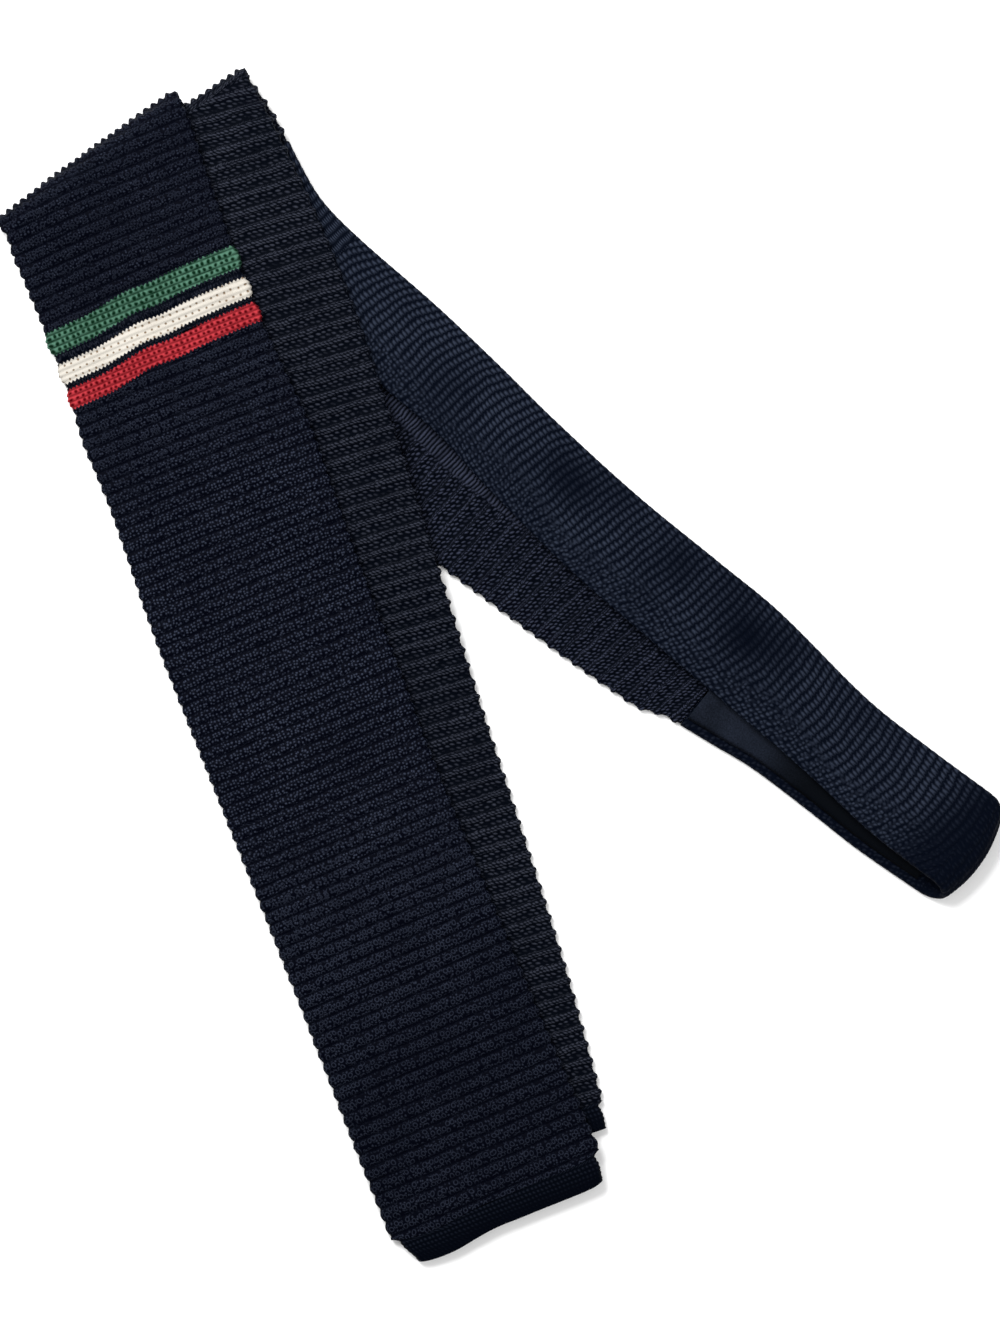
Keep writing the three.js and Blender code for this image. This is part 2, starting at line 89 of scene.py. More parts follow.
# How the front's courses tilt, sag and wave across the blade, and where part of that is lost
COURSE_TILT = -0.045
COURSE_SAG = 1.15
COURSE_WAVE_AT = (-34, -24, -19, -12, -4, 4, 12, 28, 34)
COURSE_WAVE = (0.1, 0.8, 1.08, 0.56, -0.25, 0.29, -0.2, -0.64, -0.7)
COURSE_LOSS = 0.75
COURSE_LOSS_RUN = (90, 170)

# How far past a layer's edge the cloth over it stays up, and how far it takes to come down
DRAPE_MARGIN = 5.0
DRAPE_RUN = 26.0

# The hems: how they lean, sway, draw in and taper, and the wavy end of the front one
HEM_LENGTH = 8.7
HEM_TILT = -0.035
HEM_SWAY = 1.5
HEM_TIGHTNESS = 0.93
HEM_GRIP = (-0.2, 1.2)
HEM_TAPER = 0.05
HEM_TAPER_FROM = 3.0
HEM_WAVE_AT = (-35, -32, -27, -20, -8, 4, 16, 28, 32, 35)
HEM_WAVE = (-2.6, -0.8, 0.3, 0.5, -0.5, -0.4, 0.1, 0.3, -0.6, -2.2)
HEM_WAVE_RUN = 15.0

# The satin band on the under leg
LINING_START = 256.0
LINING_END = 344.8
LINING_BORDER = 3.0
LINING_THICKNESS = 0.5

# Courses of the under leg and the neck, as slopes across the tie at these distances
UNDER_COURSES = (150, 245)
UNDER_TILT = (0.08, 0.2)
NECK_COURSES = (0, 130, 208, 290, 330)
NECK_TILT = (0.1, 0.1, 0.2, 0.05, 0.05)
NECK_BEND = (0.0069, 0.0069, -0.0076, -0.0142, -0.0142)
NECK_TWIST = (0.00067, 0.00067, 0.00027, 0.00022, 0.00022)

# Where the route's first fold line meets the leg centres, from the middle of the tie's box
START_X = -128.28942
START_Y = 158.98784

# Where the picture's middle lies on the table, and the picture's height there
VIEW_X = 0.35
VIEW_Y = 0.91
VIEW_HEIGHT = 426.56


def smoothstep(x: Array, low: float, high: float) -> Array:
    """Smooth rise from 0 at low to 1 at high."""
    t = np.clip((np.asarray(x, float) - low) / (high - low), 0.0, 1.0)
    return t * t * (3.0 - 2.0 * t)


def lerp(a: Array, b: Array, t: Array) -> Array:
    """Straight blend from a to b."""
    return a + (b - a) * t


def direction(angle: float) -> Array:
    """Unit vector in plan at an angle from +X."""
    return np.array([math.cos(math.radians(angle)), math.sin(math.radians(angle))])


def reading(stations: Sequence[float], values: Sequence[float], at: Array) -> Array:
    """Read a table with a smooth curve through its rows.

    Args:
        stations: The rows' places, rising.
        values: The rows' values.
        at: Where to read.

    Returns:
        The values at those places.
    """
    x = np.asarray(stations, float)
    y = np.asarray(values, float)
    slope = np.empty_like(y)
    slope[1:-1] = (y[2:] - y[:-2]) / (x[2:] - x[:-2])
    slope[0] = (y[1] - y[0]) / (x[1] - x[0])
    slope[-1] = (y[-1] - y[-2]) / (x[-1] - x[-2])
    s = np.clip(np.asarray(at, float), x[0], x[-1])
    row = np.clip(np.searchsorted(x, s, side="left") - 1, 0, len(x) - 2)
    span = x[row + 1] - x[row]
    t = (s - x[row]) / span
    r = 1.0 - t
    return (
        y[row] * (1 + 2 * t) * r * r
        + slope[row] * span * t * r * r
        + y[row + 1] * (1 + 2 * r) * t * t
        - slope[row + 1] * span * r * t * t
    )


def scatter(i: Array, j: Array) -> Array:
    """A fixed scattered number from 0 to 1 for each pair of whole numbers."""
    # The last digits of a large sine, a common way to make such numbers
    return np.modf(np.abs(np.sin(i * 12.9898 + j * 78.233) * 43758.5453))[0]


@dataclass(frozen=True)
class Outline:
    """A leg's outline: blend from neck width to broad width, and shift in blade widths."""

    along: tuple[float, ...]
    blend: tuple[float, ...]
    shift: tuple[float, ...]


FRONT_OUTLINE = Outline(
    along=(0, 0.025, 0.05, 0.17, 0.21, 0.25, 0.287, 0.41, 0.52, 0.615, 0.72, 0.87, 1),
    blend=(0.981, 0.998, 0.971, 0.93, 0.997, 1.019, 1.035, 1.043, 1.028, 1.012, 1.027, 1.066, 1.12),
    shift=(-0.005, -0.0094, -0.0122, -0.02, -0.0248, -0.016, -0.0097, -0.0319, -0.0346, -0.0362,
           -0.0278, -0.018, -0.0033),
)
UNDER_OUTLINE = Outline(
    along=(0, 0.2, 0.475, 0.69, 0.72, 0.77, 0.81, 0.87, 0.93, 1),
    blend=(0.981, 0.973, 0.7, 0.5, 0.401, 0.291, 0.21, 0.128, 0.077, 0.015),
    shift=(-0.005, -0.0075, -0.058, -0.075, -0.051, -0.0465, -0.044, -0.0615, -0.0775, -0.075),
)
NECK_OUTLINE = Outline(
    along=(0, 0.05, 0.109, 0.15, 0.2, 0.3, 0.38, 0.45, 0.56, 0.66, 0.73, 0.85, 0.93, 1),
    blend=(0.99, 0.749, 0.347, 0.1, 0.01, 0, -0.045, -0.014, 0.036, 0.0675, 0.08, -0.016, 0.051, 0.07),
    shift=(-0.0024, -0.0015, -0.003, 0, 0.004, 0.011, 0.009, -0.0164, -0.0345, -0.0205, -0.009,
           -0.0177, -0.011, 0.016),
)
TAIL_OUTLINE = Outline(
    along=(0, 0.06, 0.16, 0.25, 0.43, 0.6, 0.73, 0.87, 1),
    blend=(0.99, 0.99, 0.978, 0.98, 0.963, 0.971, 0.97, 0.956, 0.901),
    shift=(-0.0024, 0.0496, 0.107, 0.124, 0.119, 0.0963, 0.0908, 0.0821, 0.06),
)
NECK_WAVE_ALONG = (0, 0.3, 0.42, 0.52, 0.64, 0.73, 0.81, 0.88, 1)
NECK_WAVE_RISE = (0, 0.1, 0.45, 0.15, 0.6, 0.1, 0.45, 0.1, 0)


@dataclass
class Leg:
    """One straight stretch of the laid tube.

    Distances a run from the fold at its upper left end. v is sideways from the centre line,
    towards the upper right edge, and m is across the thickness, towards the front side. The
    leans and the bow say how far a row's points run ahead, and the cover fields say what the
    leg adds to the layers over it.
    """

    origin: Array
    heading: float
    length: float
    broad: float
    outline: Outline
    facing: int
    start_lean: float = 0.0
    end_lean: float = 0.0
    inset: float = 0.0
    cover_start: float = 0.0
    cover_end: float = 0.0
    cover_height: Optional[float] = None
    lift: Callable[[Array], Array] = lambda a: 0.0 * a
    bow: Callable[[Array, Array], Array] = lambda a, v: 0.0 * a * v
    lean_run: float = LEAN_RUN
    hem_sway: float = 0.0
    below: list["Leg"] = field(default_factory=list)

    def __post_init__(self) -> None:
        """Fix the leg's own axes in plan."""
        self.along = direction(self.heading)
        self.across = direction(self.heading + 90)

    def blend(self, a: Array) -> Array:
        """Blend from the neck's width to the broad width."""
        return reading(self.outline.along, self.outline.blend, a / self.length)

    def half_width(self, a: Array) -> Array:
        """Half the flattened tube's width, which the hem draws in.

        Args:
            a: Distances along the leg.

        Returns:
            The half widths there.
        """
        end = self.length
        grip = lerp(1.0, HEM_TIGHTNESS, smoothstep(a, end + HEM_GRIP[0], end + HEM_GRIP[1]))
        taper = 1 - HEM_TAPER * smoothstep(a, end + HEM_TAPER_FROM, end + HEM_LENGTH)
        return grip * taper * lerp(NECK_WIDTH, self.broad, self.blend(a)) / 2

    def centre(self, a: Array) -> Array:
        """Sideways place of the centre line."""
        sway = self.hem_sway * smoothstep(a, self.length, self.length + HEM_LENGTH)
        return reading(self.outline.along, self.outline.shift, a / self.length) * BLADE_WIDTH + sway

    def thickness(self, a: Array) -> Array:
        """Thickness of the flattened tube."""
        return lerp(NECK_THICKNESS, BLADE_THICKNESS, np.clip(self.blend(a), 0, 1))

    def lean(self, a: Array) -> Array:
        """How far the rows lean near the leg's two ends."""
        start = self.start_lean * (1 - smoothstep(a, 0, self.lean_run))
        return start + self.end_lean * (1 - smoothstep(self.length - a, 0, LEAN_RUN))

    def reach(self, a: Array, v: Array) -> Array:
        """Distance along the leg of a row's point."""
        return a + self.lean(a) * v + self.bow(a, v)

    def plan(self, a: Array, v: Array) -> tuple[Array, Array]:
        """Place in plan of a row's points.

        Args:
            a: Distance of the row.
            v: Places across the tube.

        Returns:
            x and y.
        """
        s = self.reach(a, v)
        side = v + self.centre(a)
        x = self.origin[0] + self.along[0] * s + self.across[0] * side
        y = self.origin[1] + self.along[1] * s + self.across[1] * side
        return x, y

    def cover(self, x: Array, y: Array) -> Array:
        """Height that this leg adds to what lies over a point in plan.

        Args:
            x: The points' x.
            y: Their y.

        Returns:
            The leg's full height over it, which fades out beside it as the cloth drapes down.
        """
        dx, dy = x - self.origin[0], y - self.origin[1]
        a = dx * self.along[0] + dy * self.along[1]
        v = dx * self.across[0] + dy * self.across[1] - self.centre(a)
        beside = np.maximum(np.abs(v) - self.half_width(a) + self.inset, 0)
        before = self.cover_start + self.lean(np.zeros(1)) * v - a
        beyond = a - self.cover_end - self.lean(np.full(1, self.length)) * v
        outside = np.hypot(beside, np.maximum(np.maximum(before, beyond), 0))
        fade = 1 - smoothstep(outside, DRAPE_MARGIN, DRAPE_MARGIN + DRAPE_RUN)
        height = self.thickness(a) if self.cover_height is None else self.cover_height
        return (height + self.lift(a) + LAYER_GAP) * fade

    def place(self, a: Array, v: Array, m: Array) -> Array:
        """Place of the tube's points.

        Args:
            a: Distance along the leg.
            v: Places across the tube.
            m: Places across its thickness.

        Returns:
            An array of x, y and z.
        """
        x, y = self.plan(a, v)
        under = self.lift(a) + sum(layer.cover(x, y) for layer in self.below)
        z = under + self.thickness(a) / 2 + self.facing * m
        return np.stack(np.broadcast_arrays(x, y, z), axis=-1)


@dataclass
class Roll:
    """The half round turn between an upper and a lower leg.

    outward is the angle in plan that the turn faces, the bulges are how far it stands out at
    its two edges, and crown is how much further it does in the middle.
    """

    upper: Leg
    lower: Leg
    upper_end: float
    lower_end: float
    outward: float
    bulge_left: float
    bulge_right: float
    crown: float

    def ends(self, measure: Callable[[Leg, Array], Array]) -> tuple[Array, Array]:
        """A measure of the upper and of the lower leg, where the turn meets them."""
        meets = ((self.upper, self.upper_end), (self.lower, self.lower_end))
        return tuple(measure(leg, np.full(1, end)) for leg, end in meets)

    def half_width(self, share: Array) -> Array:
        """Half width at a share of the way down."""
        return lerp(*self.ends(Leg.half_width), share)

    def thickness(self, share: Array) -> Array:
        """Thickness at a share of the way down."""
        return lerp(*self.ends(Leg.thickness), share)

    def place(self, turn: Array, v: Array, m: Array) -> Array:
        """Place of the turn's points.

        Args:
            turn: Angle, from 0 at the upper leg to pi at the lower one.
            v: Places across the tube.
            m: Places across its thickness.

        Returns:
            An array of x, y and z.
        """
        share = (1 - np.cos(turn)) / 2
        w = v / self.half_width(share)
        one = np.zeros_like(w)
        top_half, low_half = self.ends(Leg.half_width)
        top = self.upper.place(one + self.upper_end, w * top_half, one)
        low = self.lower.place(one + self.lower_end, w * low_half, one)
        radius = (top[..., 2] - low[..., 2]) / 2
        bulge = lerp(self.bulge_left, self.bulge_right, np.clip((w + 1) / 2, -0.1, 1.1))
        bulge = bulge + self.crown * (1 - w * w)
        out = np.append(direction(self.outward), 0.0)
        normal = out * (radius * np.sin(turn))[..., None]
        normal[..., 2] = bulge * np.cos(turn)
        normal /= np.maximum(np.linalg.norm(normal, axis=-1, keepdims=True), 1e-9)
        middle = lerp(top, low, share[..., None]) + out * (bulge * np.sin(turn))[..., None]
        return middle + normal * (self.upper.facing * m)[..., None]


class LaidTube:
    """The four legs with their folds and the neck loop, from the table up."""

    def __init__(self) -> None:
        """Lay the legs out."""
        start = np.array([START_X, START_Y])
        front_out = (FRONT_HEADING + UNDER_HEADING) / 2 + 180
        front_line = front_out - 90
        nest = start + direction(front_line) * NEST_ALONG - direction(front_out) * NEST_DEPTH
        neck_end = start + direction(UNDER_HEADING) * UNDER_LENGTH
        span = neck_end - nest
        neck_length = float(np.hypot(*span))
        neck_heading = math.degrees(math.atan2(span[1], span[0]))
        tail_out = (neck_heading + TAIL_HEADING) / 2 + 180
        tail_line = tail_out - 90

        self.under = Leg(
            start, UNDER_HEADING, UNDER_LENGTH, BLADE_WIDTH, UNDER_OUTLINE, -1,
            start_lean=self.lean_to(front_line, UNDER_HEADING),
            end_lean=self.lean_to(LOOP_SLOPE, UNDER_HEADING),
            cover_end=UNDER_LENGTH,
        )
        self.lining = replace(
            self.under, inset=LINING_BORDER, cover_start=LINING_START, cover_height=LINING_THICKNESS
        )
        self.neck = Leg(
            nest, neck_heading, neck_length, TAIL_WIDTH, NECK_OUTLINE, 1,
            start_lean=self.lean_to(tail_line, neck_heading),
            end_lean=self.lean_to(LOOP_SLOPE, neck_heading),
            cover_end=neck_length,
            lift=lambda a: LOOP_LIFT * (1 - smoothstep(neck_length - a, 0, LOOP_LIFT_RUN))
            + NECK_THICKNESS * reading(NECK_WAVE_ALONG, NECK_WAVE_RISE, a / neck_length),
            below=[self.under, self.lining],
        )
        self.tail = Leg(
            nest, TAIL_HEADING, TAIL_LENGTH, TAIL_WIDTH, TAIL_OUTLINE, -1,
            start_lean=self.lean_to(tail_line, TAIL_HEADING),
            cover_end=TAIL_LENGTH + HEM_LENGTH,
            lift=self.fold_lift,
            hem_sway=HEM_SWAY,
            below=[self.under, self.neck],
        )
        self.front = Leg(
            start, FRONT_HEADING, FRONT_LENGTH, BLADE_WIDTH, FRONT_OUTLINE, 1,
            start_lean=self.lean_to(front_line, FRONT_HEADING),
            end_lean=HEM_TILT,
            lift=self.fold_lift,
            bow=self.front_bow,
            lean_run=FRONT_LEAN_RUN,
            hem_sway=HEM_SWAY,
            below=[self.under, self.neck, self.tail],
        )
        self.front_fold = Roll(
            self.front, self.under, 0, 0, front_out, bulge_left=5.3, bulge_right=4.1, crown=0.3
        )
        self.tail_fold = Roll(
            self.tail, self.neck, 0, 0, tail_out, bulge_left=1.5, bulge_right=2.0, crown=0.0
        )
        self.neck_loop = Roll(
            self.neck, self.under, neck_length, UNDER_LENGTH, LOOP_SLOPE - 90,
            bulge_left=6.2, bulge_right=5.4, crown=3.4,
        )

    @staticmethod
    def lean_to(line: float, heading: float) -> float:
        """Lean that ends the rows parallel to a line at this angle in plan."""
        return -math.tan(math.radians(line - heading - 90))

    @staticmethod
    def fold_lift(a: Array) -> Array:
        """Rise of a leg beside its fold."""
        return FOLD_LIFT * (1 - smoothstep(a, 0, FOLD_LIFT_RUN))

    @staticmethod
    def front_bow(a: Array, v: Array) -> Array:
        """The front blade's courses sag towards the hem at both edges, most at the left.

        Args:
            a: Distance along the blade.
            v: Places across it.

        Returns:
            How far the courses run ahead, in mm.
        """
        w = v / (BLADE_WIDTH / 2)
        line = COURSE_TILT * v + COURSE_SAG * w * w + reading(COURSE_WAVE_AT, COURSE_WAVE, v)
        line = line * smoothstep(a, 0, FRONT_LEAN_RUN) * (1 - COURSE_LOSS * smoothstep(a, *COURSE_LOSS_RUN))
        hem = smoothstep(a, FRONT_LENGTH - HEM_WAVE_RUN, FRONT_LENGTH + HEM_LENGTH)
        return line + reading(HEM_WAVE_AT, HEM_WAVE, v) * hem


class Knit(Enum):
    """The kinds of knit on the tie."""

    FRONT_RIB = "crunchy rib, front side"
    BACK_RIB = "crunchy rib, back side"
    NECK = "slanted fine rib"
    HEM = "fine one-by-one rib"
    BAND = "coloured band"
    LINE = "navy line between bands"


@dataclass(frozen=True)
class Stitching:
    """Real sizes of one knit, in mm.

    stitch is the pitch across the tie, rows are the rows of stitches in a rib, the depths are
    how far ribs and stitches stand up, and slant is how far a stitch leans in a row, in
    stitches. scallop is how much more the ribs stand up at the tube's edges, and flat how much
    less they do where the knit is plain.
    """

    stitch: float
    rows: int
    rib_depth: float
    stitch_depth: float
    slant: float = 0.0
    scallop: float = 0.55
    flat: float = 0.0


STITCHING = {
    Knit.FRONT_RIB: Stitching(1.65, 3, 0.6, 0.16),
    Knit.BACK_RIB: Stitching(2.2, 4, 0.75, 0.24, slant=0.5, flat=0.75),
    Knit.NECK: Stitching(1.6, 1, 0.24, 0.1, slant=0.35, scallop=-0.6),
    Knit.HEM: Stitching(1.75, 1, 0.06, 0.14),
    Knit.BAND: Stitching(1.45, 1, 0.22, 0.12),
    Knit.LINE: Stitching(1.45, 1, 0.3, 0.1),
}

# How a rib's line wanders: by which share of its width, over how many stitches, and a seed
RIB_WANDER = ((0.05, 17, 3), (0.035, 6.3, 7))
# How round a rib's crown is, and the mean heights that keep the tube's thickness
CROWN_POWER = 0.6
RIB_MEAN = 0.6
STITCH_MEAN = 0.4
# The narrow ridge of the back ribs, as shares of a rib
RIDGE_AT = 0.25
RIDGE_WIDTH = 0.2
RIDGE_SMOOTHS = 0.7


@dataclass
class Relief:
    """One knit's surface: height in mm, how high each point is in its rib, and pattern places."""

    height: Array
    body: Array
    u: Array
    v: Array


def relief(knit: Knit, wale: Array, rib: Array) -> Relief:
    """Shape a knit's ribs and stitches.

    Args:
        knit: The kind of knit.
        wale: Place across the tie, in stitches.
        rib: Place along the tie, in ribs, with a groove at each whole number.

    Returns:
        The relief, with each rib's stitches set off sideways by its own amount.
    """
    size = STITCHING[knit]
    index = np.floor(rib)
    wander = sum(
        share * np.sin(2 * np.pi * (wale / length + scatter(index, index * 0 + salt)))
        for share, length, salt in RIB_WANDER
    )
    phase = rib - index
    phase = np.clip(phase + wander * np.sin(np.pi * phase), 0, 1)
    crown = 0.5 - 0.5 * np.cos(2 * np.pi * phase)
    body = crown**CROWN_POWER
    if knit in (Knit.BAND, Knit.LINE, Knit.HEM):
        u = wale + 0 * rib
        slant = np.abs(wale - np.floor(wale) - 0.5)
        stitch = (0.5 - 0.5 * np.cos(2 * np.pi * (rib - 0.5 * slant))) * body
    else:
        shift = 0.5 * index if knit is Knit.NECK else np.round(6 * scatter(index, index * 0 + 11)) / 3
        u = wale + shift + size.slant * phase * size.rows
        stitch = (0.5 + 0.5 * np.cos(2 * np.pi * u)) * np.abs(np.sin(np.pi * (phase * size.rows)))
    if knit is Knit.BACK_RIB:
        body = sum(np.exp(-(((phase - at) / RIDGE_WIDTH) ** 2)) for at in (RIDGE_AT, RIDGE_AT + 1))
        stitch = stitch * (1 - RIDGE_SMOOTHS * np.clip(body, 0, 1))
    # The tube keeps its thickness: what stands up at the crowns is taken from the grooves
    height = size.rib_depth * (body - RIB_MEAN) + size.stitch_depth * (stitch - STITCH_MEAN)
    return Relief(height, np.clip(body, 0, 1), u, (index + phase) * size.rows)


class Run(Protocol):
    """A run of rows of the tube, on one leg or round one turn, perhaps in another knit."""

    other: Optional[Knit]
    other_count: Optional[Callable[[Array], Array]]

    def half_width(self) -> Array:
        """Half widths of the rows."""

    def thickness(self) -> Array:
        """Thicknesses of the rows."""

    def open(self) -> Array:
        """Share of the full thickness that each row keeps."""

    def bump(self, v: Array, rise: Array) -> Array:
        """How far each point stands up in a fold's bumps, in mm."""

    def place(self, v: Array, m: Array) -> Array:
        """Places of the rows' points."""

    def courses(self, v: Array) -> Array:
        """Distance of each point along the knit's own courses, in mm."""


@dataclass
class LegRun:
    """Rows on one leg, at distances a, squeezed where the tube's end turns in.

    The courses count from offset, forwards or back along the route, and run ahead by skew.
    """

    leg: Leg
    a: Array
    route: float = 1.0
    offset: float = 0.0
    skew: Callable[[Array, Array], Array] = lambda s, v: 0.0 * s * v
    squeeze: Optional[Array] = None
    other: Optional[Knit] = None
    other_count: Optional[Callable[[Array], Array]] = None

    def open(self) -> Array:
        """Share of the full thickness that each row keeps."""
        return np.ones((len(self.a), 1)) if self.squeeze is None else self.squeeze[:, None]

    def half_width(self) -> Array:
        """Half widths of the rows."""
        return self.leg.half_width(self.a)[:, None]

    def thickness(self) -> Array:
        """Thicknesses of the rows."""
        return self.leg.thickness(self.a)[:, None]

    def bump(self, v: Array, rise: Array) -> Array:
        """A leg has no bumps."""
        return 0.0 * v * rise

    def place(self, v: Array, m: Array) -> Array:
        """Places of the rows' points."""
        return self.leg.place(self.a[:, None] + 0 * v, v, m)

    def courses(self, v: Array) -> Array:
        """Distance of each point along the knit's own courses, in mm."""
        s = self.leg.reach(self.a[:, None] + 0 * v, v)
        return self.offset + self.route * (s - self.skew(s, v))


@dataclass
class RollRun:
    """Rows round a turn, at angles turn.

    arc is the turn's own radius for counting courses, and slope how far they run ahead across
    it. The bumps are that high in mm and coarse apart, strayed over stray_run and sunk by a
    share of their height, on the wall where outer points.
    """

    roll: Roll
    turn: Array
    route: float
    offset: float
    slope: float
    bumps: float = 0.0
    arc: float = 6.0
    coarse: float = 2.6
    stray: float = 0.4
    stray_run: float = 7.0
    sunk: float = 1.3
    outer: int = 1
    other: Optional[Knit] = None
    other_count: Optional[Callable[[Array], Array]] = None

    def open(self) -> Array:
        """Share of the full thickness that each row keeps."""
        return np.ones((len(self.turn), 1))

    def half_width(self) -> Array:
        """Half widths of the rows."""
        return self.roll.half_width((1 - np.cos(self.turn[:, None])) / 2)

    def thickness(self) -> Array:
        """Thicknesses of the rows."""
        return self.roll.thickness((1 - np.cos(self.turn[:, None])) / 2)

    def bump(self, v: Array, rise: Array) -> Array:
        """How far each point stands up in the fold's rounded bumps.

        Args:
            v: Places of the points across the tube.
            rise: How far the section faces the front there.

        Returns:
            The heights, in mm.
        """
        phase = np.pi * v / self.coarse + self.stray * np.sin(v / self.stray_run)
        wave = 2 * np.abs(np.cos(phase)) - self.sunk
        return self.bumps * np.sin(self.turn[:, None]) ** 2 * wave * (rise * self.outer > 0)

    def place(self, v: Array, m: Array) -> Array:
        """Places of the rows' points."""
        return self.roll.place(self.turn[:, None] + 0 * v, v, m)

    def courses(self, v: Array) -> Array:
        """Distance of each point along the knit's own courses, in mm."""
        return self.offset + self.route * self.turn[:, None] * self.arc + self.slope * v


@dataclass(frozen=True)
class Section:
    """Columns round the flattened tube's section.

    share is the place on the flat walls, and side and rise are the section's outward normal.
    face is 1 on the front wall and -1 on the back, turn is -2 to 2 for the walls passed, and
    arc is the share of the round edges passed, for counting stitches.
    """

    share: Array
    side: Array
    rise: Array
    face: Array
    turn: Array
    arc: Array

    @staticmethod
    def around(front: int, back: int, edge: int) -> "Section":
        """Lay out the columns: half the back, left edge, front, right edge, half the back.

        Args:
            front: Spaces across the front wall.
            back: Spaces across the back wall, an even number.
            edge: Spaces round each edge.

        Returns:
            The columns, with the first one repeated at the end.
        """
        half = back // 2
        angle = np.linspace(0, np.pi, edge + 1)[:-1]
        back_left, wall, back_right = np.zeros(half), np.zeros(front), np.zeros(half + 1)
        turned = np.zeros(edge)

        def columns(*parts: Array) -> Array:
            """Join the five stretches of columns."""
            return np.concatenate(parts)

        return Section(
            share=columns(np.linspace(0, -1, half + 1)[:-1], turned - 1, np.linspace(-1, 1, front + 1)[:-1],
                          turned + 1, np.linspace(1, 0, half + 1)),
            side=columns(back_left, -np.sin(angle), wall, np.sin(angle), back_right),
            rise=columns(back_left - 1, -np.cos(angle), wall + 1, np.cos(angle), back_right - 1),
            face=columns(back_left - 1, turned, wall + 1, turned, back_right - 1),
            turn=columns(back_left - 2, turned - 1, wall, turned + 1, back_right + 2),
            arc=columns(back_left - 1, angle / np.pi - 1, wall, angle / np.pi, back_right + 1),
        )


@dataclass
class Surface:
    """Arrays of a piece's surface: points (rows, columns, 3), pattern (rows, columns, 2), marks."""

    points: Array
    pattern: Array
    marks: dict[str, Array]


@dataclass
class KnitTube:
    """A closed stretch of the flattened knitted tube.

    wales are the stitches across a wall, and rib_count turns distances along the courses into
    ribs. shown is 1 where the tube's front side shows, -1 where its back side does, and 0 for
    both. plain and fade mark the points for the finish, with fade as the painted shade of each
    point; rim marks how far each row is from the ends, and swell is how far the middle of each
    edge stands out, in mm. edge_keen and hidden_keen are the shares of the relief at the edges
    and on the side that doesn't show.
    """

    knit: Knit
    runs: Sequence[Run]
    section: Section
    wales: float
    rib_count: Callable[[Array], Array]
    shown: int = 1
    plain: Callable[[Run, Array], Array] = lambda run, v: 0.0 * v
    fade: Callable[[Run, Array], Array] = lambda run, v: 1.0 + 0.0 * v
    rim: bool = False
    swell: float = 0.0
    edge_keen: float = 0.9
    hidden_keen: float = 0.25

    def stitches(self, run: Run, v: Array, half: Array) -> Relief:
        """Lay a run's knit round the section.

        Args:
            run: The rows.
            v: Places of the points across the tube.
            half: Half of each row's thickness.

        Returns:
            The relief of the run's ribs and stitches.
        """
        kind = run.other or self.knit
        stitch = STITCHING[kind].stitch
        wale = self.section.share * self.section.face * self.wales / 2 + self.section.turn * self.wales / 2
        wale = wale + self.section.arc * np.pi * half / stitch
        if run.other:
            wale = wale * STITCHING[self.knit].stitch / stitch
        return relief(kind, wale + 0 * v, (run.other_count or self.rib_count)(run.courses(v)))

    def standing(self, run: Run, v: Array, height: Array, plain: Array) -> Array:
        """How far each point of a run stands off the smooth tube.

        Args:
            run: The rows.
            v: Places of the points across the tube.
            height: The relief's own heights.
            plain: Where the knit is plain, from 0 to 1.

        Returns:
            The heights, in mm.
        """
        size = STITCHING[run.other or self.knit]
        side = np.abs(self.section.side)
        seen = self.section.rise * self.shown >= 0
        keen = np.where(side > 0.05, self.edge_keen, self.hidden_keen + (1 - self.hidden_keen) * seen)
        h = height * keen * (1 + size.scallop * side) * (1 - size.flat * plain)
        if self.swell:
            share = (run.a - run.a[0]) / (run.a[-1] - run.a[0])
            h = h + self.swell * np.sin(np.pi * share)[:, None] * side
        return (h + run.bump(v, self.section.rise)) * smoothstep(run.open(), 0.3, 1.0)

    def strip(self, run: Run) -> Surface:
        """Work out the surface of one run.

        Args:
            run: The rows.

        Returns:
            Their surface, kept above the floor, with the marks that the finishes read.
        """
        side, rise = self.section.side, self.section.rise
        half = run.thickness() / 2 * run.open()
        v = self.section.share * (run.half_width() - run.thickness() / 2) + side * half
        knit = self.stitches(run, v, half)
        plain = self.plain(run, v)
        h = self.standing(run, v, knit.height, plain)
        points = run.place(v + h * side, rise * half + h * rise)
        points[..., 2] = np.maximum(points[..., 2], 0)
        other = np.full_like(knit.body, 1.0 if run.other else 0.0)
        return Surface(points, np.stack(np.broadcast_arrays(knit.u, knit.v), axis=-1),
                       {"body": knit.body, "plain": plain, "fade": self.fade(run, v), "other": other})

    def surface(self) -> Surface:
        """Join the surfaces of the runs.

        Returns:
            The whole knitted surface.
        """
        strips = [self.strip(run) for run in self.runs]
        marks = {key: np.concatenate([strip.marks[key] for strip in strips]) for key in strips[0].marks}
        if self.rim:
            a = self.runs[0].a[:, None]
            marks["rim"] = np.minimum(a - a[0], a[-1] - a) + 0 * marks["body"]
        points, pattern = ([getattr(strip, key) for strip in strips] for key in ("points", "pattern"))
        return Surface(np.concatenate(points), np.concatenate(pattern), marks)


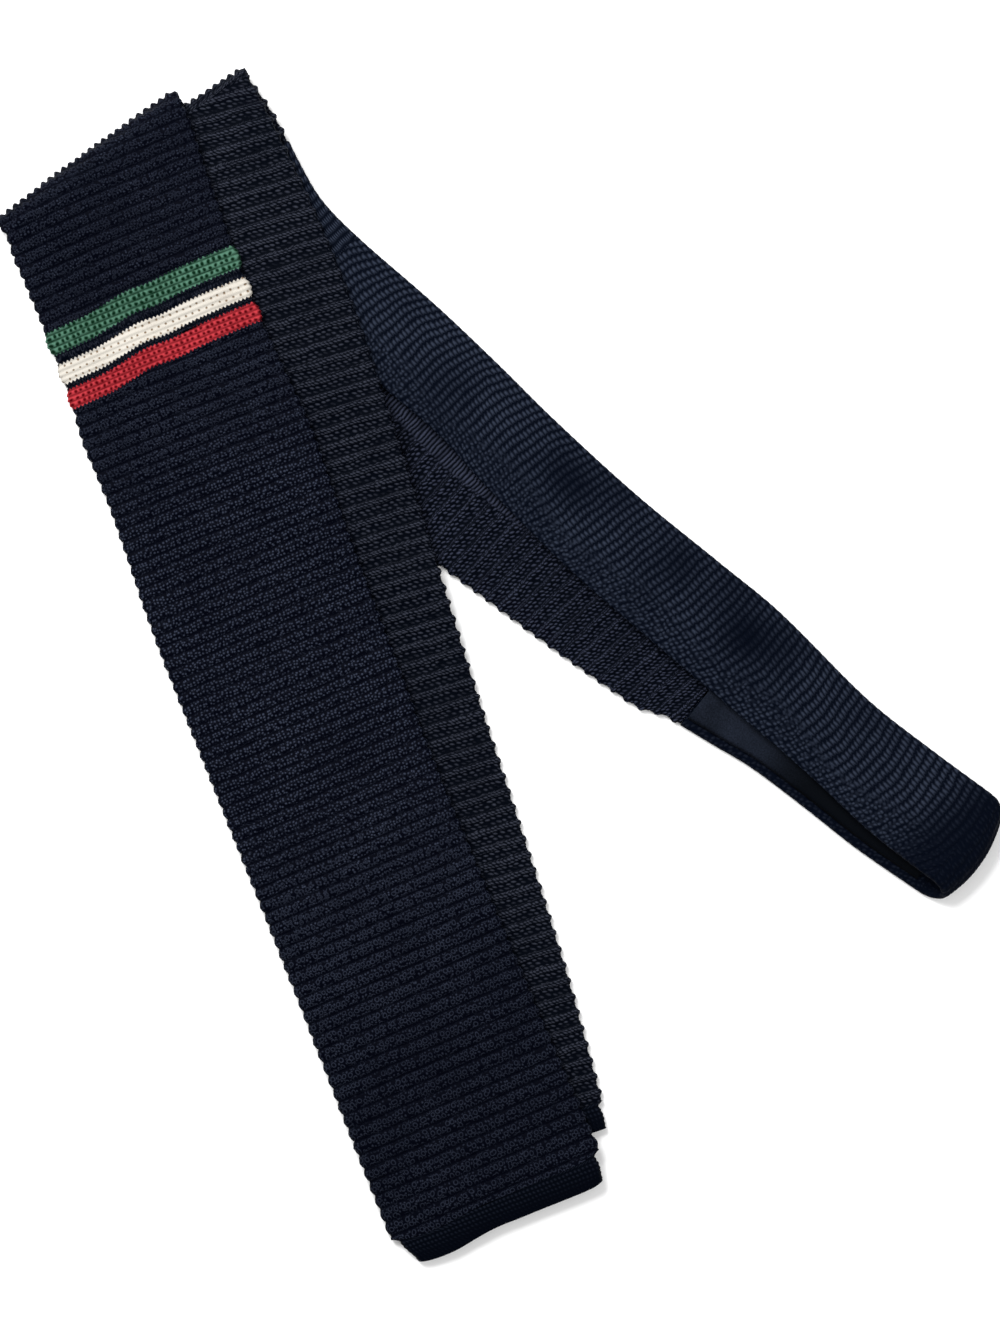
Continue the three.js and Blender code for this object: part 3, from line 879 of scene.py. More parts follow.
def grid_object(name: str, surface: Surface) -> Piece:
    """Make a closed tube from a grid primitive whose points are put in their places.

    Args:
        name: Name of the piece.
        surface: Its surface, in mm, with the last column on the first.

    Returns:
        The piece, closed at both ends, faces outwards, with the UV map Stitches.
    """
    rows, columns = surface.points.shape[:2]
    bpy.ops.object.select_all(action="DESELECT")
    bpy.ops.mesh.primitive_grid_add(x_subdivisions=columns - 1, y_subdivisions=rows - 1, size=1,
                                    location=(0, 0, 0))
    piece = bpy.context.active_object
    mesh = piece.data
    piece.name = mesh.name = name
    here = np.empty(3 * len(mesh.vertices))
    mesh.vertices.foreach_get("co", here)
    here = here.reshape(-1, 3)
    column = np.rint((here[:, 0] + 0.5) * (columns - 1)).astype(int)
    row = np.rint((here[:, 1] + 0.5) * (rows - 1)).astype(int)
    mesh.vertices.foreach_set("co", (surface.points[row, column] * MM).ravel())
    while mesh.uv_layers:
        mesh.uv_layers.remove(mesh.uv_layers[0])
    layer = mesh.uv_layers.new(name="Stitches")
    corner = np.empty(len(mesh.loops), dtype=np.int32)
    mesh.loops.foreach_get("vertex_index", corner)
    layer.data.foreach_set("uv", surface.pattern[row[corner], column[corner]].ravel())
    for key, values in surface.marks.items():
        mark = mesh.attributes.new(key, "FLOAT", "POINT")
        mark.data.foreach_set("value", np.ascontiguousarray(values[row, column]))
    mesh.update()

    bpy.ops.object.mode_set(mode="EDIT")
    bpy.ops.mesh.select_mode(type="EDGE")
    bpy.ops.mesh.select_all(action="SELECT")
    bpy.ops.mesh.remove_doubles(threshold=1e-6)
    bpy.ops.mesh.select_all(action="DESELECT")
    bpy.ops.mesh.select_non_manifold(extend=False, use_wire=False, use_boundary=True, use_multi_face=False,
                                     use_non_contiguous=False, use_verts=False)
    bpy.ops.mesh.mark_sharp()
    bpy.ops.mesh.fill_holes(sides=0)
    bpy.ops.mesh.select_all(action="SELECT")
    bpy.ops.mesh.normals_make_consistent(inside=False)
    bpy.ops.object.mode_set(mode="OBJECT")
    bpy.ops.object.shade_smooth()
    return piece


def linear(code: str) -> tuple[float, float, float, float]:
    """Turn an sRGB hex colour into a linear colour."""
    parts = [int(code[i:i + 2], 16) / 255 for i in (1, 3, 5)]
    return (*[p / 12.92 if p <= 0.04045 else ((p + 0.055) / 1.055) ** 2.4 for p in parts], 1.0)


def add(tree: Tree, kind: str, settings: Optional[dict] = None, out: int | str = 0,
        **links: Socket) -> Socket:
    """Add a node with its settings and links.

    Args:
        tree: The node tree.
        kind: The node's type name, after ShaderNode.
        settings: Its properties by name, and its sockets' values by number or name.
        out: The number or name of the output that is wanted.
        links: Sockets to link from, by input name with underscores for spaces, or in0, in1.

    Returns:
        That output of the new node.
    """
    node = tree.nodes.new("ShaderNode" + kind)
    for key, value in (settings or {}).items():
        if isinstance(key, int) or key in node.inputs:
            node.inputs[key].default_value = value
        else:
            setattr(node, key, value)
    for key, source in links.items():
        name = int(key[2:]) if key[:2] == "in" and key[2:].isdigit() else key.replace("_", " ")
        tree.links.new(source, node.inputs[name])
    return node.outputs[out]


TIMES = {"operation": "MULTIPLY"}
LARGER = {"operation": "MAXIMUM"}
ZIGZAG = {"operation": "PINGPONG", 1: 0.5}


def ramp(low: float, high: float, start: float = 0.0, end: float = 1.0) -> dict[str, float]:
    """Settings that turn low to high into start to end."""
    return {"From Min": low, "From Max": high, "To Min": start, "To Max": end}


def cells(tree: Tree, stitches: Socket, scale: Sequence[float], stray: float,
          shift: Sequence[float] = (0.0, 0.0)) -> Socket:
    """Scatter centres over the knit.

    Args:
        tree: The node tree.
        stitches: Place in the knit, in stitches across and rows along.
        scale: Centres in a stitch's width and in a row.
        stray: How far they stray from an even grid, from 0 to 1.
        shift: How far the whole grid is shifted.

    Returns:
        How far each point is from the nearest centre.
    """
    spaced = add(tree, "Mapping", {"Location": (*shift, 0), "Scale": (*scale, 1)}, Vector=stitches)
    settings = {"voronoi_dimensions": "2D", "Scale": 1.0, "Randomness": stray}
    return add(tree, "TexVoronoi", settings, Vector=spaced)


def beads(tree: Tree, stitches: Socket, scale: Sequence[float], stray: float, size: Sequence[float],
          shift: Sequence[float] = (0.0, 0.0)) -> Socket:
    """Scatter light beads over the knit.

    Args:
        tree: The node tree.
        stitches: Place in the knit, in stitches across and rows along.
        scale: Beads in a stitch's width and in a row.
        stray: How far they stray from an even grid, from 0 to 1.
        size: The radii between which a bead fades out.
        shift: How far the whole grid is shifted.

    Returns:
        How light each point is, from 0 to 1.
    """
    return add(tree, "MapRange", ramp(*size, 1.0, 0.0), Value=cells(tree, stitches, scale, stray, shift))


@dataclass(frozen=True)
class Finish:
    """What every finish has: its name, its lightest and deepest colours, and its material."""

    name: str
    light: str
    deep: str

    def mixed(self, tree: Tree, share: Socket) -> Socket:
        """The colour where the finish is light to this share."""
        ends = {"data_type": "RGBA", 6: linear(self.deep), 7: linear(self.light)}
        return add(tree, "Mix", ends, out=2, in0=share)

    def shader(self, tree: Tree, place: Socket) -> Socket:
        """Draw the finish at each place on the tie, in metres."""
        raise NotImplementedError

    def material(self) -> bpy.types.Material:
        """Build the finish.

        Returns:
            Its material.
        """
        material = bpy.data.materials.new(self.name)
        material.use_nodes = True
        tree = material.node_tree
        tree.nodes.clear()
        shader = self.shader(tree, add(tree, "TexCoord", out="Object"))
        output = tree.nodes.new("ShaderNodeOutputMaterial")
        tree.links.new(shader, output.inputs["Surface"])
        return material


@dataclass(frozen=True)
class YarnFinish(Finish):
    """Knitted silk yarn: dyed filament in stitches, with painted shade between them, and a low soft gloss.

    light is the colour of the stitches' crowns and deep that of the holes and grooves, which is
    painted shade over the yarn's own darker colour there. groove gives the heights in a rib
    between which the painted groove shade ends, and wander how far stitches stray. The eye gets
    small light stitches on a dark ground, and a faint bloom where the knit turns away.
    """

    roughness: float = 0.6
    specular: float = 0.02
    sheen: float = 0.01
    sheen_tint: str = "#8090b0"
    stitch_height: float = 0.00035
    wander: float = 1.0
    groove: tuple[float, float] = (0.06, 0.45)

    def pattern(self, tree: Tree, stitches: Socket) -> Socket:
        """Draw how light each stitch is, from 0 to 1."""
        raise NotImplementedError

    def colour(self, tree: Tree, stitches: Socket, share: Socket) -> Socket:
        """The yarn's colour where it is light to this share."""
        return self.mixed(tree, share)

    def shader(self, tree: Tree, place: Socket) -> Socket:
        """Draw the yarn.

        Args:
            tree: The finish's node tree.
            place: Place on the tie, in metres.

        Returns:
            The shader.
        """
        # Uneven tension: each stitch strays by part of its width, over about 3 mm
        sway = add(tree, "TexNoise", {"Scale": 330.0, "Detail": 1.0}, Vector=place)
        reach = {1: (self.wander, self.wander, 0), 2: (-self.wander / 2, -self.wander / 2, 0)}
        drift = add(tree, "VectorMath", {"operation": "MULTIPLY_ADD", **reach},
                    in0=sway.node.outputs["Color"])
        knit = add(tree, "UVMap", {"uv_map": "Stitches"})
        stitches = add(tree, "VectorMath", {"operation": "ADD"}, in0=knit, in1=drift)
        drawn = self.pattern(tree, stitches)
        # A groove gets painted shade, with a ragged edge where loops hang over it
        body = add(tree, "Attribute", {"attribute_name": "body"}, out="Fac")
        ragged = add(tree, "Math", {"operation": "MULTIPLY_ADD", 1: 0.5}, in0=sway, in2=body)
        crown = add(tree, "MapRange", ramp(self.groove[0] + 0.25, self.groove[1] + 0.25), Value=ragged)
        # Painted sheen and shade: paler and darker patches about 16 mm across, where the silk lies at other
        # angles
        sheen_noise = add(tree, "TexNoise", {"Scale": 60.0, "Detail": 3.0}, Vector=place)
        sheen_patch = add(tree, "Math", {"operation": "MULTIPLY_ADD", 1: 1.0, 2: 0.5}, in0=sheen_noise)
        # Silk filaments, drawn about 0.3 mm across, coarser than real, so that they show
        fuzz = add(tree, "TexNoise", {"Scale": 2600.0, "Detail": 2.0}, Vector=place)
        grain = add(tree, "Math", {"operation": "MULTIPLY_ADD", 1: 0.8, 2: 0.6}, in0=fuzz)
        # fade is the painted shade that each piece's rows are given
        fade = add(tree, "Attribute", {"attribute_name": "fade"}, out="Fac")
        share = drawn
        for part in (crown, fade, sheen_patch, grain):
            share = add(tree, "Math", TIMES, in0=share, in1=part)
        share = add(tree, "Clamp", Value=share)
        height = add(tree, "Math", {"operation": "MULTIPLY_ADD", 1: 0.3}, in0=fuzz, in2=drawn)
        bump = add(tree, "Bump", {"Strength": 0.7, "Distance": self.stitch_height}, Height=height)
        return add(tree, "BsdfPrincipled", {
            "Roughness": self.roughness, "Specular IOR Level": self.specular, "Sheen Weight": self.sheen,
            "Sheen Roughness": 0.45, "Sheen Tint": linear(self.sheen_tint),
        }, Base_Color=self.colour(tree, stitches, share), Normal=bump)


@dataclass(frozen=True)
class RingKnit(YarnFinish):
    """Front ribs: two rows of light loops round dark holes, with seeds between.

    ring is a loop's radius and stroke half its line's width, as shares of a cell. Where the
    attribute plain is 1, the knit is seeds alone.
    """

    ring: float = 0.3
    stroke: float = 0.13

    def pattern(self, tree: Tree, stitches: Socket) -> Socket:
        """Draw loops and seeds.

        Args:
            tree: The finish's node tree.
            stitches: Place in the knit, in stitches across and rows along, three rows a rib.

        Returns:
            How light each point is, from 0 to 1.
        """
        loops = cells(tree, stitches, scale=(0.82, 2 / 3), stray=0.72, shift=(0.5, 0.5))
        off = add(tree, "Math", {"operation": "SUBTRACT", 1: self.ring}, in0=loops)
        size = add(tree, "Math", {"operation": "ABSOLUTE"}, in0=off)
        line = add(tree, "MapRange", ramp(0.0, self.stroke, 1.0, 0.0), Value=size)
        plain = add(tree, "Attribute", {"attribute_name": "plain"}, out="Fac")
        looped = add(tree, "Math", {"operation": "SUBTRACT", 0: 1.0}, in1=plain)
        ring = add(tree, "Math", TIMES, in0=line, in1=looped)
        outer = add(tree, "MapRange", ramp(0.44, 0.5), Value=loops)
        outside = add(tree, "Math", LARGER, in0=outer, in1=plain)
        seeds = beads(tree, stitches, scale=(1.35, 1.15), stray=0.65, size=(0.08, 0.4))
        between = add(tree, "Math", TIMES, in0=seeds, in1=outside)
        return add(tree, "Math", LARGER, in0=ring, in1=between)


@dataclass(frozen=True)
class BeadKnit(YarnFinish):
    """Back ribs: a thin pale ridge of fine beads, then rows of oval beads over dark gaps.

    ridge is the share of a rib that the fine beads take. Where the attribute plain is 1, the
    knit is thin even lines along the rows.
    """

    ridge: float = 0.38

    def pattern(self, tree: Tree, stitches: Socket) -> Socket:
        """Draw the ridge, the beads and the plain lines.

        Args:
            tree: The finish's node tree.
            stitches: Place in the knit, in stitches across and rows along, four rows a rib.

        Returns:
            How light each point is, from 0 to 1.
        """
        along = add(tree, "SeparateXYZ", out="Y", Vector=stitches)
        ribs = add(tree, "Math", {"operation": "MULTIPLY", 1: 0.25}, in0=along)
        phase = add(tree, "Math", {"operation": "FRACT"}, in0=ribs)
        zone = add(tree, "MapRange", ramp(self.ridge - 0.03, self.ridge + 0.03), Value=phase)
        fine = beads(tree, stitches, scale=(1.6, 1.33), stray=0.3, size=(0.15, 0.5))
        oval = beads(tree, stitches, scale=(1.0, 1.0), stray=0.3, size=(0.14, 0.4))
        rib = add(tree, "Mix", in0=zone, in2=fine, in3=oval)
        row = add(tree, "Math", ZIGZAG, in0=along)
        line = add(tree, "MapRange", ramp(0.12, 0.4), Value=row)
        plain = add(tree, "Attribute", {"attribute_name": "plain"}, out="Fac")
        return add(tree, "Mix", in0=plain, in2=rib, in3=line)


@dataclass(frozen=True)
class StrokeKnit(YarnFinish):
    """Neck rows: slanted strokes side by side, each row ending in a short dark notch.

    Where the attribute plain is 1, the strokes give way to seeds.
    """

    def pattern(self, tree: Tree, stitches: Socket) -> Socket:
        """Draw the strokes and the seeds.

        Args:
            tree: The finish's node tree.
            stitches: Place in the knit, in stitches across and rows along.

        Returns:
            How light each point is, from 0 to 1.
        """
        across = add(tree, "SeparateXYZ", Vector=stitches)
        side = add(tree, "Math", ZIGZAG, in0=across)
        pointed = add(tree, "Math", {"operation": "MULTIPLY_ADD", 1: 0.5}, in0=side,
                      in2=across.node.outputs["Y"])
        row = add(tree, "Math", ZIGZAG, in0=pointed)
        notch = add(tree, "MapRange", ramp(0.06, 0.34), Value=row)
        stroke = add(tree, "MapRange", ramp(0.08, 0.38, 0.1), Value=side)
        strokes = add(tree, "Math", TIMES, in0=stroke, in1=notch)
        seeds = beads(tree, stitches, scale=(1.05, 1.8), stray=0.45, size=(0.12, 0.44))
        plain = add(tree, "Attribute", {"attribute_name": "plain"}, out="Fac")
        return add(tree, "Mix", in0=plain, in2=strokes, in3=seeds)


@dataclass(frozen=True)
class DotKnit(YarnFinish):
    """Hem: a close grid of small dots, one to a stitch."""

    def pattern(self, tree: Tree, stitches: Socket) -> Socket:
        """Draw the dots."""
        return beads(tree, stitches, scale=(1.15, 1.1), stray=0.1, size=(0.1, 0.42), shift=(0.5, 0.5))


@dataclass(frozen=True)
class BandKnit(YarnFinish):
    """Coloured bands: stitches with a small dark hole between them, and navy teeth at the edges.

    cell is the spacing of the holes, in stitches and rows, hole the share of it that is dark,
    and tooth how far the navy reaches in, in mm.
    """

    cell: tuple[float, float] = (1.0, 1.0)
    hole: tuple[float, float] = (0.12, 0.36)
    edge: str = "#0b0e18"
    tooth: float = 0.75

    def pattern(self, tree: Tree, stitches: Socket) -> Socket:
        """Draw the holes.

        Args:
            tree: The finish's node tree.
            stitches: Place in the knit, in stitches across and rows along.

        Returns:
            How light each point is, from 0 to 1.
        """
        scale = [1 / c for c in self.cell]
        holes = cells(tree, stitches, scale=scale, stray=0.15, shift=[0.5 / c for c in self.cell])
        return add(tree, "MapRange", ramp(*self.hole), Value=holes)

    def colour(self, tree: Tree, stitches: Socket, share: Socket) -> Socket:
        """Colour the band, with navy between its V-shaped edge stitches.

        Args:
            tree: The finish's node tree.
            stitches: Place in the knit, in stitches across and rows along.
            share: How light each point is, from 0 to 1.

        Returns:
            The colour.
        """
        rim = add(tree, "Attribute", {"attribute_name": "rim"}, out="Fac")
        across = add(tree, "SeparateXYZ", Vector=stitches)
        tooth = add(tree, "Math", ZIGZAG, in0=across)
        left = add(tree, "Math", {"operation": "MULTIPLY_ADD", 1: -2 * self.tooth}, in0=tooth, in2=rim)
        inside = add(tree, "MapRange", ramp(-0.12, 0.12), Value=left)
        navy = {"data_type": "RGBA", 6: linear(self.edge)}
        return add(tree, "Mix", navy, out=2, in0=inside, in7=self.mixed(tree, share))


@dataclass(frozen=True)
class SatinFinish(Finish):
    """Woven satin lining: fine floats that give a smooth, soft sheen, painted into its colour as paler
    patches.
    """

    roughness: float = 0.42
    specular: float = 0.03

    def shader(self, tree: Tree, place: Socket) -> Socket:
        """Draw the satin.

        Args:
            tree: The finish's node tree.
            place: Place on the tie, in metres.

        Returns:
            The shader.
        """
        # Painted sheen: paler patches in the satin's colour
        patches = add(tree, "TexNoise", {"Scale": 55.0, "Detail": 3.0}, Vector=place)
        # Floats of the weave, drawn at 0.5 mm so that they show
        weave = add(tree, "TexNoise", {"Scale": 2000.0, "Detail": 2.0}, Vector=place)
        # fade is painted shade, darker towards the loop
        fade = add(tree, "Attribute", {"attribute_name": "fade"}, out="Fac")
        both = add(tree, "Math", TIMES, in0=patches, in1=weave)
        lit = add(tree, "Math", TIMES, in0=both, in1=fade)
        share = add(tree, "MapRange", ramp(0.05, 0.4), Value=lit)
        bump = add(tree, "Bump", {"Strength": 0.4, "Distance": 0.0001}, Height=weave)
        gloss = {"Roughness": self.roughness, "Specular IOR Level": self.specular}
        return add(tree, "BsdfPrincipled", gloss, Base_Color=self.mixed(tree, share), Normal=bump)


# Dyed silk, bright enough to give the photograph's mean colours in this light
# Each deep colour is the painted shade in the holes and grooves, over the yarn's own colour there
NAVY = RingKnit("navy_silk_knit", light="#383e4e", deep="#000108", wander=0.6)
BACK_NAVY = BeadKnit("navy_silk_back_knit", light="#2c2f39", deep="#000208", groove=(-0.12, 0.12),
                     wander=0.5)
UNDER_NAVY = BeadKnit("navy_silk_under_knit", light="#2e3241", deep="#000208", groove=(-0.2, 0.1), wander=0.7,
                      ridge=0.12)
NECK_NAVY = StrokeKnit("navy_silk_neck_knit", light="#252b38", deep="#01040e", groove=(-0.4, 0.4),
                       wander=0.45)
HEM_NAVY = DotKnit("navy_hem_knit", light="#10141e", deep="#000208", groove=(-1.4, 0.1), wander=0.25)
LINE_NAVY = RingKnit("navy_line_knit", light="#1c1f28", deep="#000209")
GREEN = BandKnit("green_silk_knit", light="#446857", deep="#021c0d", sheen_tint="#a0e0c0", cell=(1.4, 1.0),
                 groove=(0.0, 0.8), hole=(0.2, 0.42), wander=0.6)
CREAM = BandKnit("cream_silk_knit", light="#b4afa6", deep="#6f5c48", sheen_tint="#ffffff", cell=(1.75, 1.3),
                 hole=(0.08, 0.2), groove=(-1.2, 0.1), wander=0.4)
RED = BandKnit("red_silk_knit", light="#a22f36", deep="#480006", sheen_tint="#ff9aa8", cell=(1.4, 1.0),
               groove=(-0.1, 0.8), hole=(0.16, 0.4), wander=0.6)
SATIN = SatinFinish("navy_satin", light="#1a1f2a", deep="#020408")


def spread(start: float, end: float, step: float) -> Array:
    """Evenly spaced distances from start to end, about a step apart."""
    return np.linspace(start, end, max(int(round(abs(end - start) / step)), 1) + 1)


@dataclass
class Dresser:
    """Gives the pieces their finishes, and keeps the one material of each finish."""

    materials: dict[str, bpy.types.Material] = field(default_factory=dict)

    def material(self, finish: Finish) -> bpy.types.Material:
        """Make a finish's material, or take the one that is there.

        Args:
            finish: The finish.

        Returns:
            Its one material.
        """
        if finish.name not in self.materials:
            self.materials[finish.name] = finish.material()
        return self.materials[finish.name]

    def dress_other(self, piece: Piece, finish: Finish) -> None:
        """Give the faces marked other a second finish.

        Args:
            piece: The piece.
            finish: The second finish.
        """
        mark = np.empty(len(piece.data.vertices), dtype=np.float32)
        piece.data.attributes["other"].data.foreach_get("value", mark)
        piece.data.materials.append(self.material(finish))
        for face in piece.data.polygons:
            face.material_index = int(all(mark[corner] > 0.5 for corner in face.vertices))

    def dress(self, piece: Piece, finish: Finish, node: str, slot: str) -> None:
        """Give a piece its finish and its body, and hide the CAD node that it stands for.

        Args:
            piece: The piece.
            finish: Its finish.
            node: The CAD node that it replaces.
            slot: The record's material slot, which is not used.
        """
        piece.data.materials.clear()
        piece.data.materials.append(self.material(finish))
        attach(piece, "root")
        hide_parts(node)


@dataclass
class Stretch:
    """What the tie's four stretches share: the laid tube, the dresser and the pieces made.

    thin is the columns of a wall that lies hidden, and edge those round each edge. A hem's
    last rows lie inside its slit: turn_in is how far back each lies, and squeeze how thick.
    Over hem_shade, from the end back, painted shade takes its light down to hem_end_shade, where the hem
    turns into its slit.
    """

    tube: LaidTube
    dresser: Dresser
    pieces: dict[str, Piece] = field(default_factory=dict)
    thin: int = 8
    edge: int = 6
    hem_step: float = 0.4
    hem_course: float = 1.6
    hem_end_shade: float = 0.05
    hem_shade: tuple[float, float] = (8.0, 1.0)
    turn_in: tuple[float, ...] = (-0.12, -0.08, 0.25, 1.6, 3.2)
    squeeze: tuple[float, ...] = (0.85, 0.6, 0.38, 0.3, 0.26)

    def knit(self, node: str, made: KnitTube, finish: YarnFinish, slot: str = "navy_knit") -> None:
        """Build one knitted piece and dress it.

        Args:
            node: The CAD node that it replaces.
            made: Its shape.
            finish: Its finish.
            slot: The record's material slot.
        """
        piece = grid_object(node + "_knit", made.surface())
        self.dresser.dress(piece, finish, node, slot)
        self.pieces[node] = piece

    def hem(self, node: str, leg: Leg, section: Section, wales: float, shown: int) -> None:
        """Build a hem, which turns in at its open end, with painted shade that darkens it towards that end.

        Args:
            node: The CAD node that it replaces.
            leg: The leg that it ends.
            section: Its columns.
            wales: Stitches across a wall.
            shown: 1 where its front side shows, and -1 where its back side does.
        """
        end = leg.length + HEM_LENGTH
        outer = spread(leg.length + JOIN, end, self.hem_step)
        a = np.concatenate([outer, end - np.array(self.turn_in)])
        run = LegRun(leg, a, squeeze=np.concatenate([np.ones(len(outer)), self.squeeze]))
        # Painted shade: the hem darkens towards its open end, where it turns in
        dark_from, dark_to = (end - back for back in self.hem_shade)
        painted_shade = lerp(1, self.hem_end_shade, smoothstep(a[:, None], dark_from, dark_to))
        self.knit(node, KnitTube(
            Knit.HEM, [run], section, wales, lambda c: c / self.hem_course, shown=shown,
            fade=lambda run, v: painted_shade + 0 * v,
        ), HEM_NAVY, "hem_knit")


@dataclass
class UnderLeg(Stretch):
    """The broad half that lies lowest, back side up.

    A plain band runs down the middle of the knit over band_reach, and moves sideways by
    band_shift over band_bend.
    """

    start: float = 30.2
    hidden_end: float = 115.0
    hidden_step: float = 4.0
    end: float = 255.4
    step: float = 0.5
    across: int = 108
    wales: float = 31.0
    rib: float = 5.12
    band_half: float = 3.6
    band_edge: tuple[float, float] = (-0.3, 0.4)
    band_ends: tuple[float, float] = (3.0, 4.0)
    band_reach: tuple[float, float] = (112.0, 206.0)
    band_bend: tuple[float, float] = (118.0, 150.0)
    band_shift: float = 3.0

    def rows_only(self, run: LegRun, v: Array) -> Array:
        """Where the plain band down the middle of the back runs.

        Args:
            run: The rows.
            v: Places across the tube.

        Returns:
            1 in the band, and 0 beside it.
        """
        a = run.a[:, None]
        start, end = self.band_reach
        side = v + run.leg.centre(a) + self.band_shift * smoothstep(a, *self.band_bend)
        inner, outer = (self.band_half + edge for edge in self.band_edge)
        along = smoothstep(a, start, start + self.band_ends[0])
        return (1 - smoothstep(np.abs(side), inner, outer)) * along * (
            1 - smoothstep(a, end - self.band_ends[1], end))

    def build(self) -> None:
        """Build the under blade, with few rows where other layers hide it."""
        leg = self.tube.under
        tilt = lambda s, v: v * lerp(*UNDER_TILT, smoothstep(s, *UNDER_COURSES))
        self.knit("under_blade", KnitTube(
            Knit.BACK_RIB,
            [LegRun(leg, spread(self.start, self.hidden_end, self.hidden_step)),
             LegRun(leg, spread(self.hidden_end + self.step, self.end, self.step), skew=tilt)],
            Section.around(self.thin, self.across, self.edge), self.wales, lambda c: c / self.rib,
            shown=-1, plain=self.rows_only,
        ), UNDER_NAVY)


@dataclass
class NeckLeg(Stretch):
    """The narrow neck with its soft loop, and the satin band on its inner side.

    wave is how far the courses wave, over wave_run across and along. seeds is the share of
    seeds past the wandering line of seed_edge. loop_shade and under_shade are how light the knit is
    painted at the loop and on the under leg: painted shade where it rolls down at the loop, and
    where the neck lies in shade on the under leg. Each of the dips is a patch of painted shade,
    and gives its place along and across the neck, its reach along, and how much of the light it takes.
    """

    under_start: float = 255.5
    under_step: float = 0.9
    neck_start: float = 67.8
    step: float = 0.42
    wales: float = 20.0
    rib: float = 2.9
    columns: tuple[int, int, int] = (70, 14, 8)
    loop_rows: int = 32
    slack: float = 0.45
    slack_run: tuple[float, float] = (200.0, 330.0)
    course_half: float = 16.0
    wave: float = 0.16
    wave_run: tuple[float, float] = (15.0, 31.0)
    seeds: float = 0.85
    seed_edge: tuple[float, float] = (-9.0, -4.0)
    seed_sway: float = 2.0
    seed_sway_run: float = 9.0
    loop_shade: float = 0.1
    under_shade: float = 0.25
    dark_run: tuple[float, float] = (2.0, 20.0)
    dark_slope: float = 0.25
    satin_step: float = 1.5
    satin_columns: tuple[int, int] = (24, 4)
    satin_thinning: float = 0.9
    satin_shade: float = 0.12
    satin_run: tuple[float, float] = (272.0, 305.0)
    dip_half: float = 9.0
    dips: tuple[tuple[float, float, float, float], ...] = (
        (120.0, -2.0, 12.0, 0.35), (171.0, 5.0, 12.0, 0.8), (186.0, 14.0, 8.0, 0.4), (214.0, 8.0, 9.0, 0.65),
        (232.0, 15.0, 8.0, 0.4), (246.0, 4.0, 10.0, 0.95), (258.0, 9.0, 7.0, 0.5), (290.0, 11.0, 9.0, 0.3),
    )

    def seeded(self, run: Run, v: Array) -> Array:
        """Where the rows break up into seeds: along the lower edge, and on the under part.

        Args:
            run: The rows.
            v: Places across the tube.

        Returns:
            1 where there are seeds alone, and 0 where there are strokes alone.
        """
        if isinstance(run, RollRun) or run.leg is self.tube.under:
            return 1.0 + 0 * v
        sway = self.seed_sway * np.sin(run.a[:, None] / self.seed_sway_run)
        return self.seeds * (1 - smoothstep(v + sway, *self.seed_edge))

    def courses(self, s: Array, v: Array) -> Array:
        """How far the neck's courses run ahead at each point.

        Args:
            s: Distances along the neck.
            v: Places across the tube.

        Returns:
            The distances, in mm.
        """
        tilt, bend, twist = (reading(NECK_COURSES, row, s) for row in (NECK_TILT, NECK_BEND, NECK_TWIST))
        v = np.clip(v, -self.course_half, self.course_half)
        across, along = self.wave_run
        wave = self.wave * np.sin(2 * np.pi * (v / across + s / along))
        return tilt * v + bend * v**2 + twist * v**3 + wave

    def count(self, c: Array) -> Array:
        """Number of rows up to each distance, with fewer where the neck stretches to the loop."""
        start, end = self.slack_run
        return c / self.rib - self.slack * smoothstep(c, start, end) * (c - start) / (10 * self.rib)

    def painted_shade(self, run: Run, v: Array) -> Array:
        """How light the neck is painted: painted shade where it rolls down at the loop and where it dips.

        Args:
            run: The rows.
            v: Places across the tube.

        Returns:
            The share of its full lightness.
        """
        if isinstance(run, RollRun):
            return self.loop_shade + 0 * v * run.turn[:, None]
        a = run.a[:, None]
        if run.leg is self.tube.under:
            return self.under_shade + 0 * v * a
        left = self.tube.neck.length - a + self.dark_slope * v
        painted_shade = lerp(self.loop_shade, 1.0, smoothstep(left, *self.dark_run))
        # Painted shade where the buckled neck dips
        for along, side, reach, depth in self.dips:
            away = -(((a - along) / reach) ** 2) - ((v - side) / self.dip_half) ** 2
            painted_shade = painted_shade * (1 - depth * np.exp(away))
        return painted_shade

    def build(self) -> None:
        """Build the neckband and its lining."""
        tube = self.tube
        turn = np.linspace(np.pi, 0, self.loop_rows + 2)[1:-1]
        self.knit("neckband", KnitTube(
            Knit.NECK,
            [LegRun(tube.under, spread(self.under_start, UNDER_LENGTH, self.under_step)),
             RollRun(tube.neck_loop, turn, 1, tube.neck.length, 0),
             LegRun(tube.neck, spread(tube.neck.length, self.neck_start, self.step), skew=self.courses)],
            Section.around(*self.columns), self.wales, self.count, shown=0, plain=self.seeded, fade=self.painted_shade,
        ), NECK_NAVY)
        self.lining()

